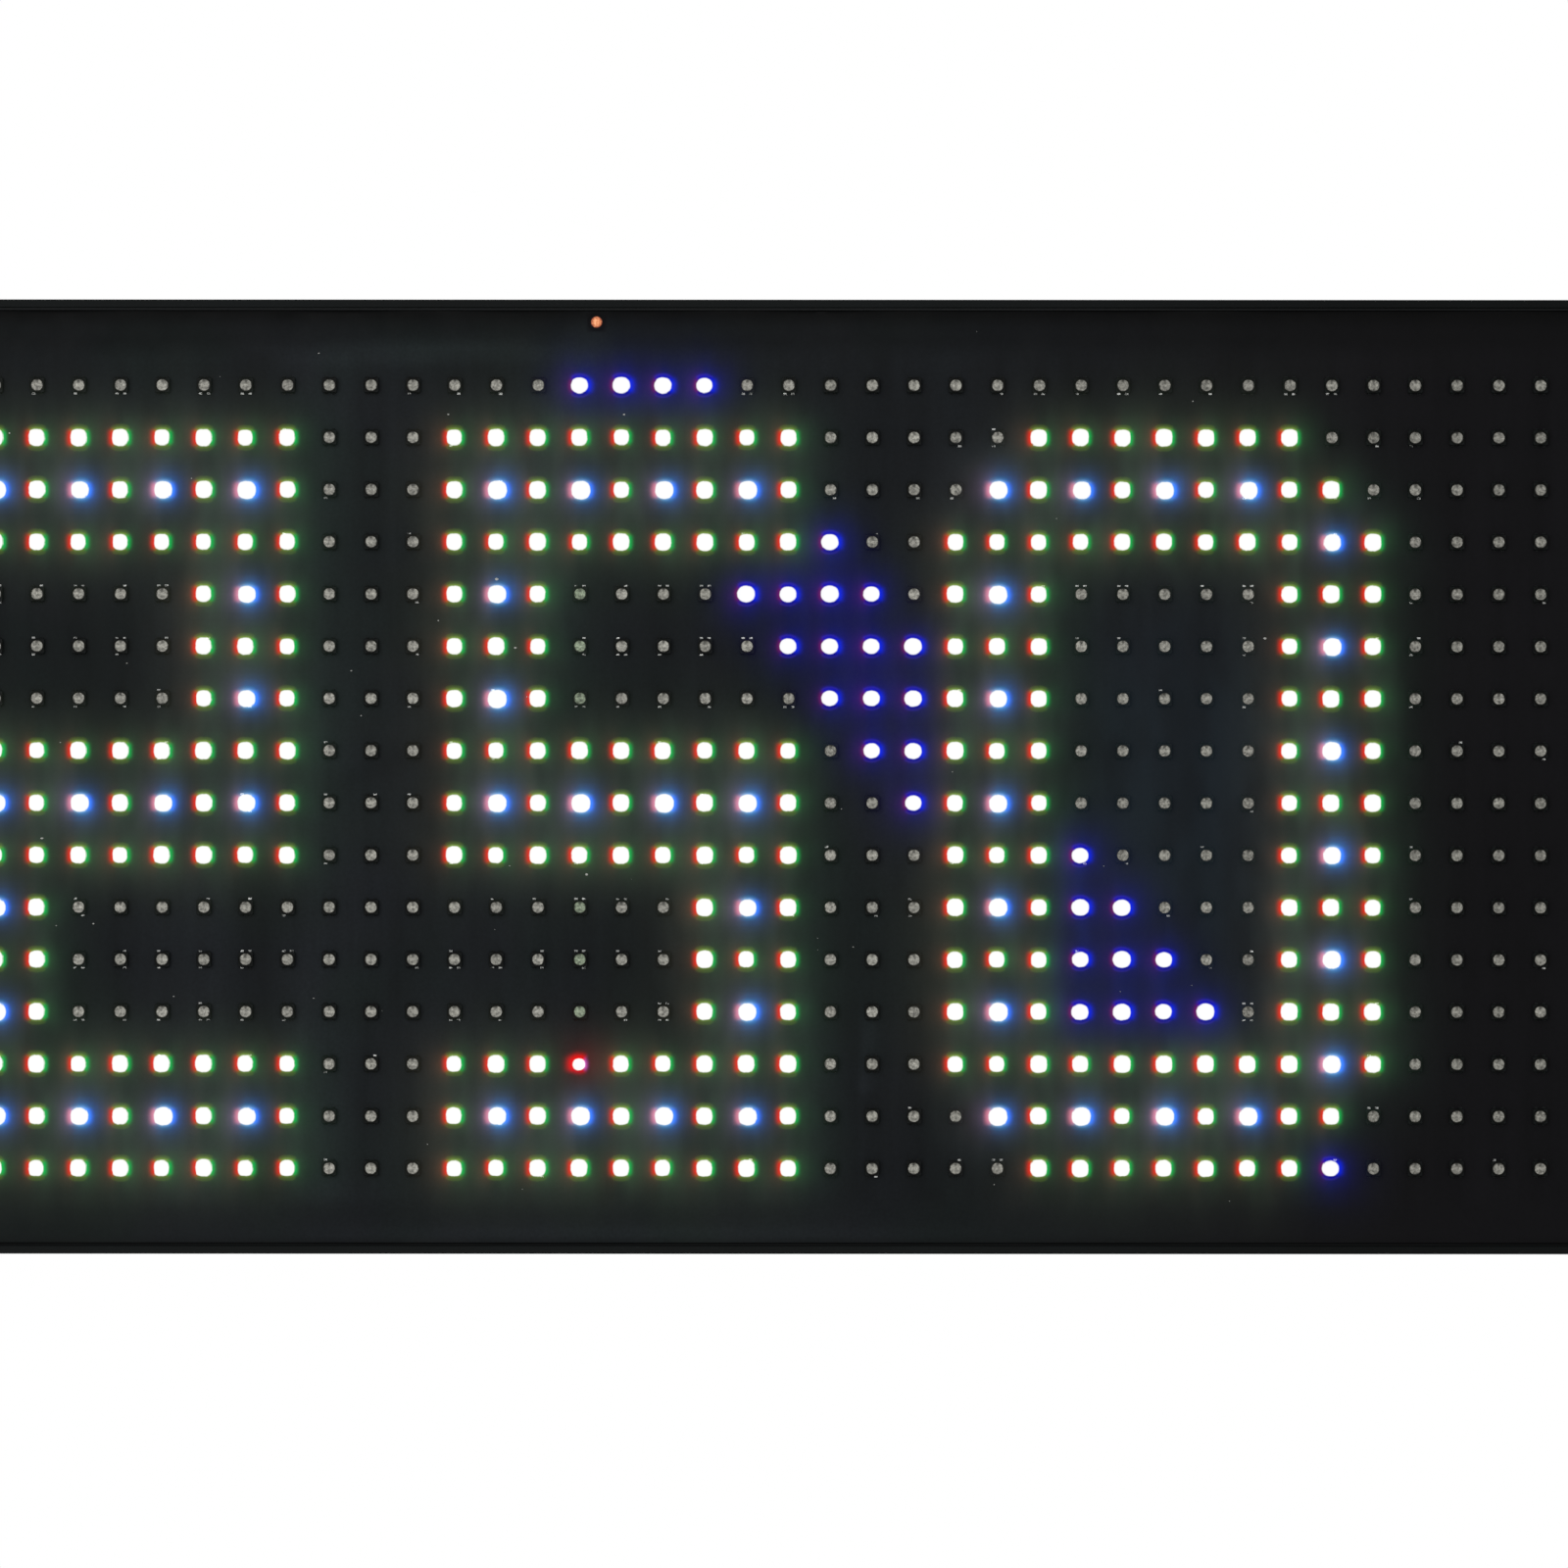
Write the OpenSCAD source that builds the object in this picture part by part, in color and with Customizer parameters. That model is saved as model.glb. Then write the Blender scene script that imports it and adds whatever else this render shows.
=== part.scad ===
// Flexible programmable lamp-matrix sign: 16 rows of three-colour lamps on a flexible
// circuit, held in a soft rimmed back cover, with a control box on the back.
// X runs along the sign, Z is up and the lamps face -Y.
// The origin is the centre of the four hanging holes, on the plane of the back face.

/* [Panel] */
// Width of the sign from end to end
sign_w = 580; // [576:1:620]
// Height of the sign
sign_h = 128; // [126:0.5:140]
// Radius of the panel's outer corners
corner_r = 5; // [3:0.5:8]
// Thickness of the soft back sheet
sheet_t = 1.2; // [0.8:0.1:2]
// Width of the raised rim along the top and bottom
rim_w = 1.1; // [0.8:0.1:2]
// How far the rim stands in front of the circuit
rim_step = 0.4; // [0.2:0.1:0.6]
// Width of the solid band at each end
end_band = 18; // [16:0.5:18]
// Gap round the circuit inside the rim
joint_gap = 0.4; // [0.2:0.05:0.8]

/* [Hanging holes] */
// Radius of the four hanging holes
hole_r = 2.75; // [2:0.05:3.5]
// Distance from the holes' centres to the panel's edges
hole_inset = 8; // [7:0.5:10]
// Radius of the thickened ring round each hole
eye_r = 5; // [4.5:0.1:6]
// How far that ring stands in front of the rim
eye_step = 0.4; // [0.2:0.1:0.5]

/* [Layers] */
// Thickness of the foam behind the circuit
foam_t = 1.4; // [1.3:0.1:2]
// Thickness of the flexible circuit
circuit_t = 0.3; // [0.2:0.05:0.5]

/* [Lamps] */
// Number of lamp columns
columns = 96; // [48:1:96]
// Spacing of the lamps along the sign
pitch_x = 5.6; // [5:0.1:5.6]
// Spacing of the lamps from row to row
pitch_z = 7; // [6:0.1:7]
// Side of a lamp's square housing
lamp_side = 2; // [1.9:0.05:2.4]
// Height of a lamp in front of the circuit
lamp_t = 0.9; // [0.7:0.05:1.2]
// Radius of a lamp's round window at its face
window_r = 0.79; // [0.7:0.01:0.85]
// Radius at the bottom of a lamp's reflector cup
cup_r = 0.6; // [0.5:0.05:0.65]
// Depth of the reflector cup
cup_depth = 0.45; // [0.3:0.05:0.6]

/* [Control box] */
// Length of the box along the sign
box_w = 84; // [84:1:96]
// Height of the box
box_h = 46; // [46:1:56]
// Distance from the sign's centre to the box's centre
box_x = 215; // [200:1:225]
// Radius of the box's upright corners
box_r = 4; // [3:0.5:5]
// Thickness of the box's walls
wall_t = 1.6; // [1.2:0.1:2]
// Depth of the box without its lid
base_d = 7.5; // [7.5:0.1:10]
// Thickness of the lid
lid_t = 1.5; // [1.4:0.1:2]
// Radius of the rounding along the edges of the box's two large faces
edge_r = 1.2; // [0.6:0.1:1.2]
// Thickness of the tape that holds the box
tape_t = 0.5; // [0.4:0.1:1]

/* [Hidden] */

// Curves of a true circle
$fn = 48;
// Overlap that lets a cut pass clean through a face
cut = 0.01;

// Depth of each plane of the panel, from the back face to the lamps' faces
sheet_y = -sheet_t;
foam_y = sheet_y - foam_t;
circuit_y = foam_y - circuit_t;
rim_y = circuit_y - rim_step;
lamp_y = circuit_y - lamp_t;

// Size of the tray in the cover, and of the circuit that lies in it
tray_w = sign_w - 2 * end_band;
tray_h = sign_h - 2 * rim_w;
circuit_w = tray_w - 2 * joint_gap;
circuit_h = tray_h - 2 * joint_gap;
hole_x = sign_w / 2 - hole_inset;
hole_z = sign_h / 2 - hole_inset;

// Copper alignment pad near the circuit's upper edge, in a ring left bare of coating
pad_pos = [-23, circuit_h / 2 - 1.5];
pad_r = 0.75;
pad_ring_r = 1.15;
pad_t = 0.1;

// States of a lamp
rows = 16;
unlit = 0;
warm = 1;
cool = 2;
blue = 3;
red = 4;

// The message is the number 250, in seven-segment figures with strokes three lamps wide.
// Each figure: its segments, its first column, its width in lamps, and whether its
// corners are cut.
figure_rows = 15;
stroke = 3;
message_w = 40;
first_column = floor((columns - message_w) / 2);
figures = [["abged", 0, 9, false], ["afgcd", 12, 9, false], ["abcdef", 24, 11, true]];
mid_row = 7;
last_row = figure_rows - 1;
// A diagonal stripe of blue passes behind the message, four lamps wide
stripe_start = 14;
stripe_w = 4;
// One lamp in the second figure has lost its green and blue
red_lamp = [15, 14];

// Chips on the back of the circuit
sections = 6;
driver_size = [4, 4, 0.85];
driver_step = 28;
driver_z = 28;
row_driver_size = [3, 3, 0.8];
row_driver_x = 150;
decoder_x = 168;
decoder_z = [-38, -30];
capacitor_size = [1.6, 0.8, 0.8];
capacitor_drop = 4;
pocket_gap = 0.5;

// Ribbon from the back of the circuit, through a slot, to the board's connector
ribbon_w = 18;
ribbon_t = 0.25;
ribbon_run = 12;
bend_r = 0.8;
slot_gap = 0.5;

// Depths inside the control box
base_y = tape_t;
floor_t = 1.2;
post_h = 1;
board_t = 1;
board_y = base_y + floor_t + post_h;
board_face = board_y + board_t;
seam_y = base_y + base_d;
lid_y = seam_y + lid_t;
lip_t = 1;
lip_d = 1;
lip_gap = 0.15;

// Places in the control box, from its centre
slot_x = box_x - box_w / 2 + wall_t + 3.4;
board_gap = 0.4;
board_x = [slot_x + 3, box_x + box_w / 2 - wall_t - board_gap];
board_h = box_h - 2 * (wall_t + board_gap);
boss_inset = 4.6;
boss_r = 2.6;
boss_gap = 0.2;
screw_r = 0.9;
screw_len = 6;
head_r = 1.9;
head_t = 0.9;
screw_gap = 0.15;
cross_len = 2.2;
cross_w = 0.4;
cross_depth = 0.55;
post_r = 1.5;
post_x = [board_x[0] + 3, board_x[1] - 10];
post_z = board_h / 2 - 3;
connector_size = [5.5, 22, 2];
connector_x = board_x[0] + 1.5 + connector_size[0] / 2;
usb_w = 8.94;
usb_h = 3.16;
usb_len = 7.3;
usb_wall = 0.3;
usb_x = box_x + 30;
usb_y = board_face + usb_h / 2;
usb_z = -box_h / 2 + 0.2;
tongue_w = 6.4;
tongue_t = 0.7;
tongue_inset = 0.8;
leg_t = 0.2;

// Centres of the lamps' columns and rows, and of the circuit's equal sections
function lamp_x(c) = (c - (columns - 1) / 2) * pitch_x;
function lamp_z(r) = ((rows + 1) / 2 - r) * pitch_z;
function section_x(m) = (m - (sections - 1) / 2) * columns * pitch_x / sections;
function odd(n) = n % 2 == 1;

// Whether a place in a figure, k lamps from its left and g rows from its top, lies in
// one of its segments: a top, b c right, d bottom, e f left, g middle
function in_segment(s, k, g, w) =
    s == "a" ? g < stroke :
    s == "b" ? k >= w - stroke && g <= mid_row + 1 :
    s == "c" ? k >= w - stroke && g >= mid_row - 1 :
    s == "d" ? g > last_row - stroke :
    s == "e" ? k < stroke && g >= mid_row - 1 :
    s == "f" ? k < stroke && g <= mid_row + 1 :
    abs(g - mid_row) < 2;
function corner_cut(k, g, w) = min(k, w - 1 - k) + min(g, last_row - g) < 2;
function in_figure(f, u, g) =
    let (k = u - f[1], w = f[2])
    k >= 0 && k < w && g >= 0 && g <= last_row && !(f[3] && corner_cut(k, g, w))
    && len([for (s = f[0]) if (in_segment(s, k, g, w)) s]) > 0;

// Every other lamp along the middle of a stroke is a cooler white. Down the right side
// of a figure with cut corners they fall on the rows between.
function on_midline(f, s, k, g) =
    let (right = f[2] - 2, side = f[3] ? 0 : 1)
    s == "a" ? g == 1 && odd(k) && k < right + side :
    s == "d" ? g == last_row - 1 && odd(k) && k < right + side :
    s == "g" ? g == mid_row && odd(k) :
    s == "b" ? k == right && g > 0 && g <= mid_row && g % 2 == side :
    s == "c" ? k == right && g >= mid_row && g < last_row && g % 2 == side :
    s == "e" ? k == 1 && g >= mid_row && g < last_row && odd(g) :
    k == 1 && g > 0 && g <= mid_row && odd(g);
function is_cool(f, u, g) =
    len([for (s = f[0]) if (on_midline(f, s, u - f[1], g)) s]) > 0;

// State of the lamp u columns into the message, in row r from the top
function lamp_state(u, r) =
    let (g = r - 2, hit = [for (f = figures) if (in_figure(f, u, g)) f])
    len(hit) > 0 ? (u == red_lamp[0] && r == red_lamp[1] ? red :
        is_cool(hit[0], u, g) ? cool : warm) :
    u - r >= stripe_start && u - r < stripe_start + stripe_w ? blue : unlit;

// A flat outline in X and Z, as a slab from depth a forward to depth b
module slab(a, b) {
    translate([0, a, 0]) rotate([90, 0, 0]) linear_extrude(a - b) children();
}

module rectangle(w, h, x = 0, z = 0) {
    translate([x - w / 2, z - h / 2]) square([w, h]);
}

module rounded(w, h, r) {
    rectangle(w - 2 * r, h);
    rectangle(w, h - 2 * r);
    for (x = [-1, 1], z = [-1, 1])
        translate([x * (w / 2 - r), z * (h / 2 - r)]) circle(r);
}

// A stadium: a rectangle with round ends
module stadium(w, h) {
    rectangle(w - h, h);
    for (x = [-1, 1]) translate([x * (w - h) / 2, 0]) circle(h / 2);
}

module at_holes() {
    for (x = [-hole_x, hole_x], z = [-hole_z, hole_z]) translate([x, z]) children();
}

module at_bosses() {
    for (x = [-1, 1], z = [-1, 1])
        translate([box_x + x * (box_w / 2 - boss_inset), z * (box_h / 2 - boss_inset)])
            children();
}

// Places of the chips on the back of the circuit
module at_drivers() {
    for (m = [0 : sections - 1], i = [-1, 0, 1])
        translate([section_x(m) + i * driver_step, driver_z]) children();
}

module at_row_drivers() {
    for (i = [0 : rows / 2 - 1])
        translate([row_driver_x, lamp_z(2 * i + 1.5)]) children();
}

module at_decoders() {
    for (z = decoder_z) translate([decoder_x, z]) children();
}

module back_cover() {
    color([0.1, 0.11, 0.115]) difference() {
        union() {
            slab(0, rim_y) rounded(sign_w, sign_h, corner_r);
            slab(rim_y + cut, rim_y - eye_step) at_holes() circle(eye_r);
        }
        slab(sheet_y, rim_y - 1) rectangle(tray_w, tray_h);
        slab(1, rim_y - eye_step - 1) at_holes() circle(hole_r);
        slab(1, sheet_y - 1) ribbon_slot();
    }
}

module ribbon_slot() {
    rectangle(ribbon_t + 2 * slot_gap, ribbon_w + 2 * slot_gap, slot_x + ribbon_t / 2);
}

module foam_backing() {
    color([0.25, 0.26, 0.27]) difference() {
        slab(sheet_y, foam_y) rectangle(circuit_w - 2, circuit_h - 2);
        slab(0, foam_y - 1) {
            at_drivers() {
                rectangle(driver_size[0] + 2 * pocket_gap, driver_size[1] + 2 * pocket_gap);
                rectangle(capacitor_size[0] + 2 * pocket_gap,
                    driver_size[1] + 2 * pocket_gap, 0, -capacitor_drop);
            }
            at_row_drivers()
                rectangle(row_driver_size[0] + 2 * pocket_gap,
                    row_driver_size[1] + 2 * pocket_gap);
            at_decoders()
                rectangle(driver_size[0] + 2 * pocket_gap, driver_size[1] + 2 * pocket_gap);
            rectangle(ribbon_run + ribbon_t + 2 * slot_gap, ribbon_w + 2 * slot_gap,
                slot_x + (ribbon_t - ribbon_run) / 2);
        }
    }
}

module flex_circuit() {
    color([0.11, 0.12, 0.125]) difference() {
        slab(foam_y, circuit_y) rectangle(circuit_w, circuit_h);
        slab(circuit_y + pad_t, circuit_y - 1) translate(pad_pos) circle(pad_ring_r);
    }
}

module copper_pad() {
    color([0.85, 0.5, 0.3])
        slab(circuit_y + pad_t, circuit_y) translate(pad_pos) circle(pad_r);
}

// The cone of clear resin that fills a lamp's reflector cup
module cup() {
    translate([0, lamp_y + cup_depth, 0]) rotate([90, 0, 0])
        cylinder(h = cup_depth, r1 = cup_r, r2 = window_r);
}

module led_row(r) {
    color([0.07, 0.075, 0.08]) for (c = [0 : columns - 1])
        translate([lamp_x(c), 0, lamp_z(r)]) difference() {
            slab(circuit_y, lamp_y) rectangle(lamp_side, lamp_side);
            cup();
        }
}

module lenses(state) {
    for (r = [1 : rows], c = [0 : columns - 1])
        if (lamp_state(c - first_column, r) == state)
            translate([lamp_x(c), 0, lamp_z(r)]) cup();
}

module unlit_lenses() { color([0.58, 0.57, 0.52]) lenses(unlit); }

module warm_lenses() { color([0.95, 1, 0.85]) lenses(warm); }

module cool_lenses() { color([0.85, 0.93, 1]) lenses(cool); }

module blue_lenses() { color([0.35, 0.4, 1]) lenses(blue); }

module red_lens() { color([1, 0.3, 0.3]) lenses(red); }

module column_drivers() {
    color([0.13, 0.13, 0.14])
        slab(foam_y + driver_size[2], foam_y) at_drivers()
            rectangle(driver_size[0], driver_size[1]);
}

module row_drivers() {
    color([0.13, 0.13, 0.14])
        slab(foam_y + row_driver_size[2], foam_y) at_row_drivers()
            rectangle(row_driver_size[0], row_driver_size[1]);
}

module line_decoders() {
    color([0.13, 0.13, 0.14])
        slab(foam_y + driver_size[2], foam_y) at_decoders()
            rectangle(driver_size[0], driver_size[1]);
}

module circuit_capacitors() {
    color([0.62, 0.52, 0.4])
        slab(foam_y + capacitor_size[2], foam_y) at_drivers()
            rectangle(capacitor_size[0], capacitor_size[1], 0, -capacitor_drop);
}

module quarter_ring(a) {
    rotate(a) intersection() {
        difference() {
            circle(bend_r + ribbon_t);
            circle(bend_r);
        }
        square(bend_r + 1);
    }
}

module ribbon_cable() {
    rise_from = foam_y + ribbon_t + bend_r;
    rise_to = board_face + connector_size[2] / 2 - bend_r;
    color([0.75, 0.72, 0.66]) translate([0, 0, -ribbon_w / 2]) linear_extrude(ribbon_w) {
        translate([slot_x - ribbon_run, foam_y]) square([ribbon_run - bend_r, ribbon_t]);
        translate([slot_x - bend_r, rise_from]) quarter_ring(-90);
        translate([slot_x, rise_from]) square([ribbon_t, rise_to - rise_from]);
        translate([slot_x + ribbon_t + bend_r, rise_to]) quarter_ring(90);
        translate([slot_x + ribbon_t + bend_r, rise_to + bend_r])
            square([connector_x - slot_x - bend_r, ribbon_t]);
    }
}

module mounting_tape() {
    color([0.16, 0.16, 0.17]) difference() {
        slab(tape_t, 0) translate([box_x, 0]) rounded(box_w - 4, box_h - 4, box_r - 2);
        slab(tape_t + 1, -1) ribbon_slot();
    }
}

module box_outline(inset) {
    translate([box_x, 0]) rounded(box_w - 2 * inset, box_h - 2 * inset, max(box_r - inset, 1));
}

// Section from the middle of a moulded block to its side: flat at the foot, and with its
// far edge rounded
module half_section(reach, t) {
    square([reach - edge_r, t]);
    square([reach, t - edge_r]);
    intersection() {
        square([reach, t]);
        translate([reach - edge_r, t - edge_r]) circle(edge_r);
    }
}

module section(w, t) {
    half_section(w / 2, t);
    mirror([1, 0]) half_section(w / 2, t);
}

// A block with the box's outline, from its flat face at depth a to its rounded one at depth b
module moulded_block(a, b) {
    t = abs(b - a);
    run_x = box_w / 2 - box_r;
    run_z = box_h / 2 - box_r;
    translate([box_x, a, 0]) mirror([0, b < a ? 1 : 0, 0]) {
        translate([0, 0, -run_z]) linear_extrude(2 * run_z) section(box_w, t);
        translate([-run_x, 0, 0]) rotate([0, 90, 0]) linear_extrude(2 * run_x) section(box_h, t);
        for (x = [-run_x, run_x], z = [-run_z, run_z])
            translate([x, 0, z]) rotate([-90, 0, 0]) rotate_extrude() half_section(box_r, t);
    }
}

module controller_base() {
    color([0.12, 0.12, 0.125]) difference() {
        union() {
            difference() {
                moulded_block(seam_y, base_y);
                slab(seam_y + 1, base_y + floor_t) box_outline(wall_t);
            }
            slab(seam_y, base_y) at_bosses() circle(boss_r);
            slab(board_y, base_y)
                for (x = post_x, z = [-post_z, post_z]) translate([x, z]) circle(post_r);
        }
        slab(seam_y + 1, seam_y - screw_len + head_t) at_bosses() circle(screw_r);
        slab(base_y + 2, -1) ribbon_slot();
        translate([usb_x, usb_y, 0]) translate([0, 0, -box_h / 2 - 1])
            linear_extrude(wall_t + 2) stadium(usb_w, usb_h);
    }
}

module controller_lid() {
    color([0.12, 0.12, 0.125]) difference() {
        union() {
            moulded_block(seam_y, lid_y);
            difference() {
                slab(seam_y + cut, seam_y - lip_d) box_outline(wall_t + lip_gap);
                slab(seam_y, seam_y - lip_d - 1) box_outline(wall_t + lip_gap + lip_t);
                slab(seam_y, seam_y - lip_d - 1) at_bosses() circle(boss_r + lip_gap);
            }
        }
        slab(lid_y + 1, lid_y - head_t) at_bosses() circle(head_r + screw_gap);
        slab(lid_y + 1, seam_y - 1) at_bosses() circle(screw_r + screw_gap);
    }
}

module controller_screws() {
    color([0.62, 0.62, 0.64]) difference() {
        union() {
            slab(lid_y, lid_y - head_t) at_bosses() circle(head_r);
            slab(lid_y - head_t + cut, seam_y - screw_len + head_t)
                at_bosses() circle(screw_r);
        }
        slab(lid_y + 1, lid_y - cross_depth) at_bosses() {
            rectangle(cross_len, cross_w);
            rectangle(cross_w, cross_len);
        }
    }
}

module controller_board() {
    notch = 2 * (boss_inset + boss_r + boss_gap - wall_t - board_gap);
    color([0.05, 0.3, 0.16]) difference() {
        slab(board_face, board_y)
            rectangle(board_x[1] - board_x[0], board_h, (board_x[0] + board_x[1]) / 2);
        slab(board_face + 1, board_y - 1) for (z = [-1, 1])
            rectangle(notch, notch, board_x[1], z * board_h / 2);
    }
}

// A chip or block on the board, centred at a place given from the box's centre
module on_board(x, z, size) {
    slab(board_face + size[2], board_face) rectangle(size[0], size[1], box_x + x, z);
}

// A row of flat legs along the left and right sides of a chip
module legs(x, z, size, count, pitch, reach, width) {
    for (i = [0 : count - 1])
        on_board(x, z + (i - (count - 1) / 2) * pitch, [size[0] + 2 * reach, width, leg_t]);
}

module ribbon_connector() {
    slot = ribbon_t + 0.1;
    mid_y = board_face + connector_size[2] / 2 + ribbon_t / 2;
    color([0.9, 0.88, 0.8]) difference() {
        on_board(connector_x - box_x, 0, connector_size);
        slab(mid_y + slot / 2, mid_y - slot / 2)
            rectangle(connector_size[0], ribbon_w + 0.3, connector_x - 1.5, 0);
    }
}

module usb_shell() {
    color([0.72, 0.72, 0.73]) translate([usb_x, usb_y, usb_z]) difference() {
        linear_extrude(usb_len) stadium(usb_w, usb_h);
        translate([0, 0, -1]) linear_extrude(usb_len)
            stadium(usb_w - 2 * usb_wall, usb_h - 2 * usb_wall);
    }
}

module usb_tongue() {
    color([0.08, 0.08, 0.08]) translate([usb_x, usb_y, usb_z + tongue_inset])
        linear_extrude(usb_len - 1 - tongue_inset) square([tongue_w, tongue_t], center = true);
}

module microcontroller() {
    color([0.13, 0.13, 0.14]) {
        on_board(-4, 3, [7, 7, 1.4]);
        legs(-4, 3, [7, 7], 12, 0.5, 1, 0.22);
        for (i = [0 : 11]) on_board(-4 + (i - 5.5) * 0.5, 3, [0.22, 9, leg_t]);
    }
}

module crystal() { color([0.75, 0.75, 0.76]) on_board(-4, -6.5, [3.2, 2.5, 0.9]); }

module radio_module() { color([0.06, 0.12, 0.3]) on_board(26, 8, [13, 18, 0.8]); }

module radio_shield() {
    color([0.75, 0.75, 0.76])
        slab(board_face + 2.8, board_face + 0.8) rectangle(11, 12, box_x + 26, 6);
}

module flash_memory() {
    color([0.13, 0.13, 0.14]) {
        on_board(-4, -13, [3.9, 4.9, 1.5]);
        legs(-4, -13, [3.9, 4.9], 4, 1.27, 1.05, 0.42);
    }
}

module voltage_regulator() {
    color([0.13, 0.13, 0.14]) {
        on_board(8, -12, [3.5, 6.5, 1.6]);
        for (z = [-2.3, 0, 2.3]) on_board(6, z - 12, [3.5, 0.7, 0.25]);
        on_board(10, -12, [3.5, 3, 0.25]);
    }
}

module power_inductor() {
    color([0.25, 0.25, 0.26]) {
        on_board(18, -13, [6, 6, 0.6]);
        slab(board_face + 2.8, board_face) translate([box_x + 18, -13]) circle(2.8);
    }
}

module bulk_capacitors() {
    color([0.7, 0.7, 0.72]) for (x = [6, 13]) {
        on_board(x, 14, [5.3, 5.3, 0.5]);
        slab(board_face + 3.6, board_face) translate([box_x + x, 14]) circle(2.5);
    }
}

module buffer_chips() {
    color([0.13, 0.13, 0.14]) for (z = [-8, 8]) {
        on_board(-18, z, [4.4, 6.5, 1]);
        legs(-18, z, [4.4, 6.5], 10, 0.65, 1, 0.25);
    }
}

module board_capacitors() {
    color([0.62, 0.52, 0.4]) {
        for (x = [-18, -11, -4, 3], z = [14]) on_board(x - 4, z, capacitor_size);
        for (x = [-12, 4], z = [-2, 3, 8]) on_board(x, z, [0.8, 1.6, 0.8]);
    }
}

back_cover();
foam_backing();
flex_circuit();
copper_pad();
led_row(1);  // led_row_01
led_row(2);  // led_row_02
led_row(3);  // led_row_03
led_row(4);  // led_row_04
led_row(5);  // led_row_05
led_row(6);  // led_row_06
led_row(7);  // led_row_07
led_row(8);  // led_row_08
led_row(9);  // led_row_09
led_row(10);  // led_row_10
led_row(11);  // led_row_11
led_row(12);  // led_row_12
led_row(13);  // led_row_13
led_row(14);  // led_row_14
led_row(15);  // led_row_15
led_row(16);  // led_row_16
unlit_lenses();
warm_lenses();
cool_lenses();
blue_lenses();
red_lens();
column_drivers();
row_drivers();
line_decoders();
circuit_capacitors();
ribbon_cable();
mounting_tape();
controller_base();
controller_lid();
controller_screws();
controller_board();
ribbon_connector();
usb_shell();
usb_tongue();
microcontroller();
crystal();
radio_module();
radio_shield();
flash_memory();
voltage_regulator();
power_inductor();
bulk_capacitors();
buffer_chips();
board_capacitors();
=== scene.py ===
import math

import bpy
import numpy as np
from mathutils.geometry import delaunay_2d_cdt
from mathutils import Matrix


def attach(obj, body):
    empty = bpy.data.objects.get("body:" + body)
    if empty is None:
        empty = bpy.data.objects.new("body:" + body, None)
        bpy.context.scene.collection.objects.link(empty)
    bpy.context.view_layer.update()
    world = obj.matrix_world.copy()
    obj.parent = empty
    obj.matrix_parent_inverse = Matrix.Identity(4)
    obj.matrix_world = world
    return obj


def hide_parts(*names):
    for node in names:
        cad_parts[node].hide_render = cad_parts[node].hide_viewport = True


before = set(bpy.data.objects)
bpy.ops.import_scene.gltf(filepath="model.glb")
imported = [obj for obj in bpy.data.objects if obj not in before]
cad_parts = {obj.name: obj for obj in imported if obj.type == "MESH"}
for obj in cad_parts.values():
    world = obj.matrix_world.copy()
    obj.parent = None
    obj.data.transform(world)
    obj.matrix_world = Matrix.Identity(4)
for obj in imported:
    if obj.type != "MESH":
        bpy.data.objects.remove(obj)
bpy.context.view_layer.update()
rng = np.random.default_rng(11)

# Sizes in millimetres, as in part.scad
MM = 0.001
SIGN_W, SIGN_H, CORNER_R = 580, 128, 5
SHEET_Y, FOAM_Y, CIRCUIT_Y, RIM_Y, EYE_Y, LAMP_Y = -1.2, -2.6, -2.9, -3.3, -3.7, -3.8
TRAY_W, TRAY_H = 544, 125.8
CIRCUIT_W, CIRCUIT_H = 543.2, 125
HOLE_X, HOLE_Z, HOLE_R, EYE_R = 282, 56, 2.75, 5
COLUMNS, ROWS, PITCH_X, PITCH_Z = 96, 16, 5.6, 7
LAMP_SIDE, WINDOW_R, CUP_R, CUP_DEPTH = 2, 0.79, 0.6, 0.45
PAD_X, PAD_Z, PAD_RING_R, PAD_T = -23, 61, 1.15, 0.1
RIBBON_SLOT = (177.5, 178.75, 9.5)  # left side, right side, half height

# Sizes that only the visual model has
PAD_CUT = 1.4  # half side of the square round the pad that has its own faces
PAD_SIDES = 32
CUP_SIDES = 16  # of a lamp's cup and the resin in it
HOLE_SIDES = 40
PX = 0.13125  # one pixel of the photograph on the circuit

# The message

UNLIT, WARM, COOL, BLUE, RED = range(5)
NAMES = (("plain", UNLIT), ("warm", WARM), ("cool", COOL), ("blue", BLUE), ("red", RED))
FIRST_COLUMN, FIRST_ROW = 28, 2
STROKE, MID_ROW, LAST_ROW = 3, 7, 14
# Each figure's segments, first column, width and whether its corners are cut
FIGURES = [("abged", 0, 9, False), ("afgcd", 12, 9, False), ("abcdef", 24, 11, True)]
RED_COLUMN, RED_ROW = 15, 12  # counted from the first ones, as the blue band is
BAND_FROM, BAND_TO = 16, 20  # column less row


def in_segment(segment, column, row, width):
    upper, lower = row <= MID_ROW + 1, row >= MID_ROW - 1
    return {
        "a": row < STROKE,
        "b": column >= width - STROKE and upper,
        "c": column >= width - STROKE and lower,
        "d": row > LAST_ROW - STROKE,
        "e": column < STROKE and lower,
        "f": column < STROKE and upper,
        "g": abs(row - MID_ROW) < 2,
    }[segment]


def in_figure(figure, column, row):
    segments, _, width, cut = figure
    if not (0 <= column < width and 0 <= row <= LAST_ROW):
        return False
    if cut and min(column, width - 1 - column) + min(row, LAST_ROW - row) < 2:
        return False
    return any(in_segment(segment, column, row, width) for segment in segments)


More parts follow.
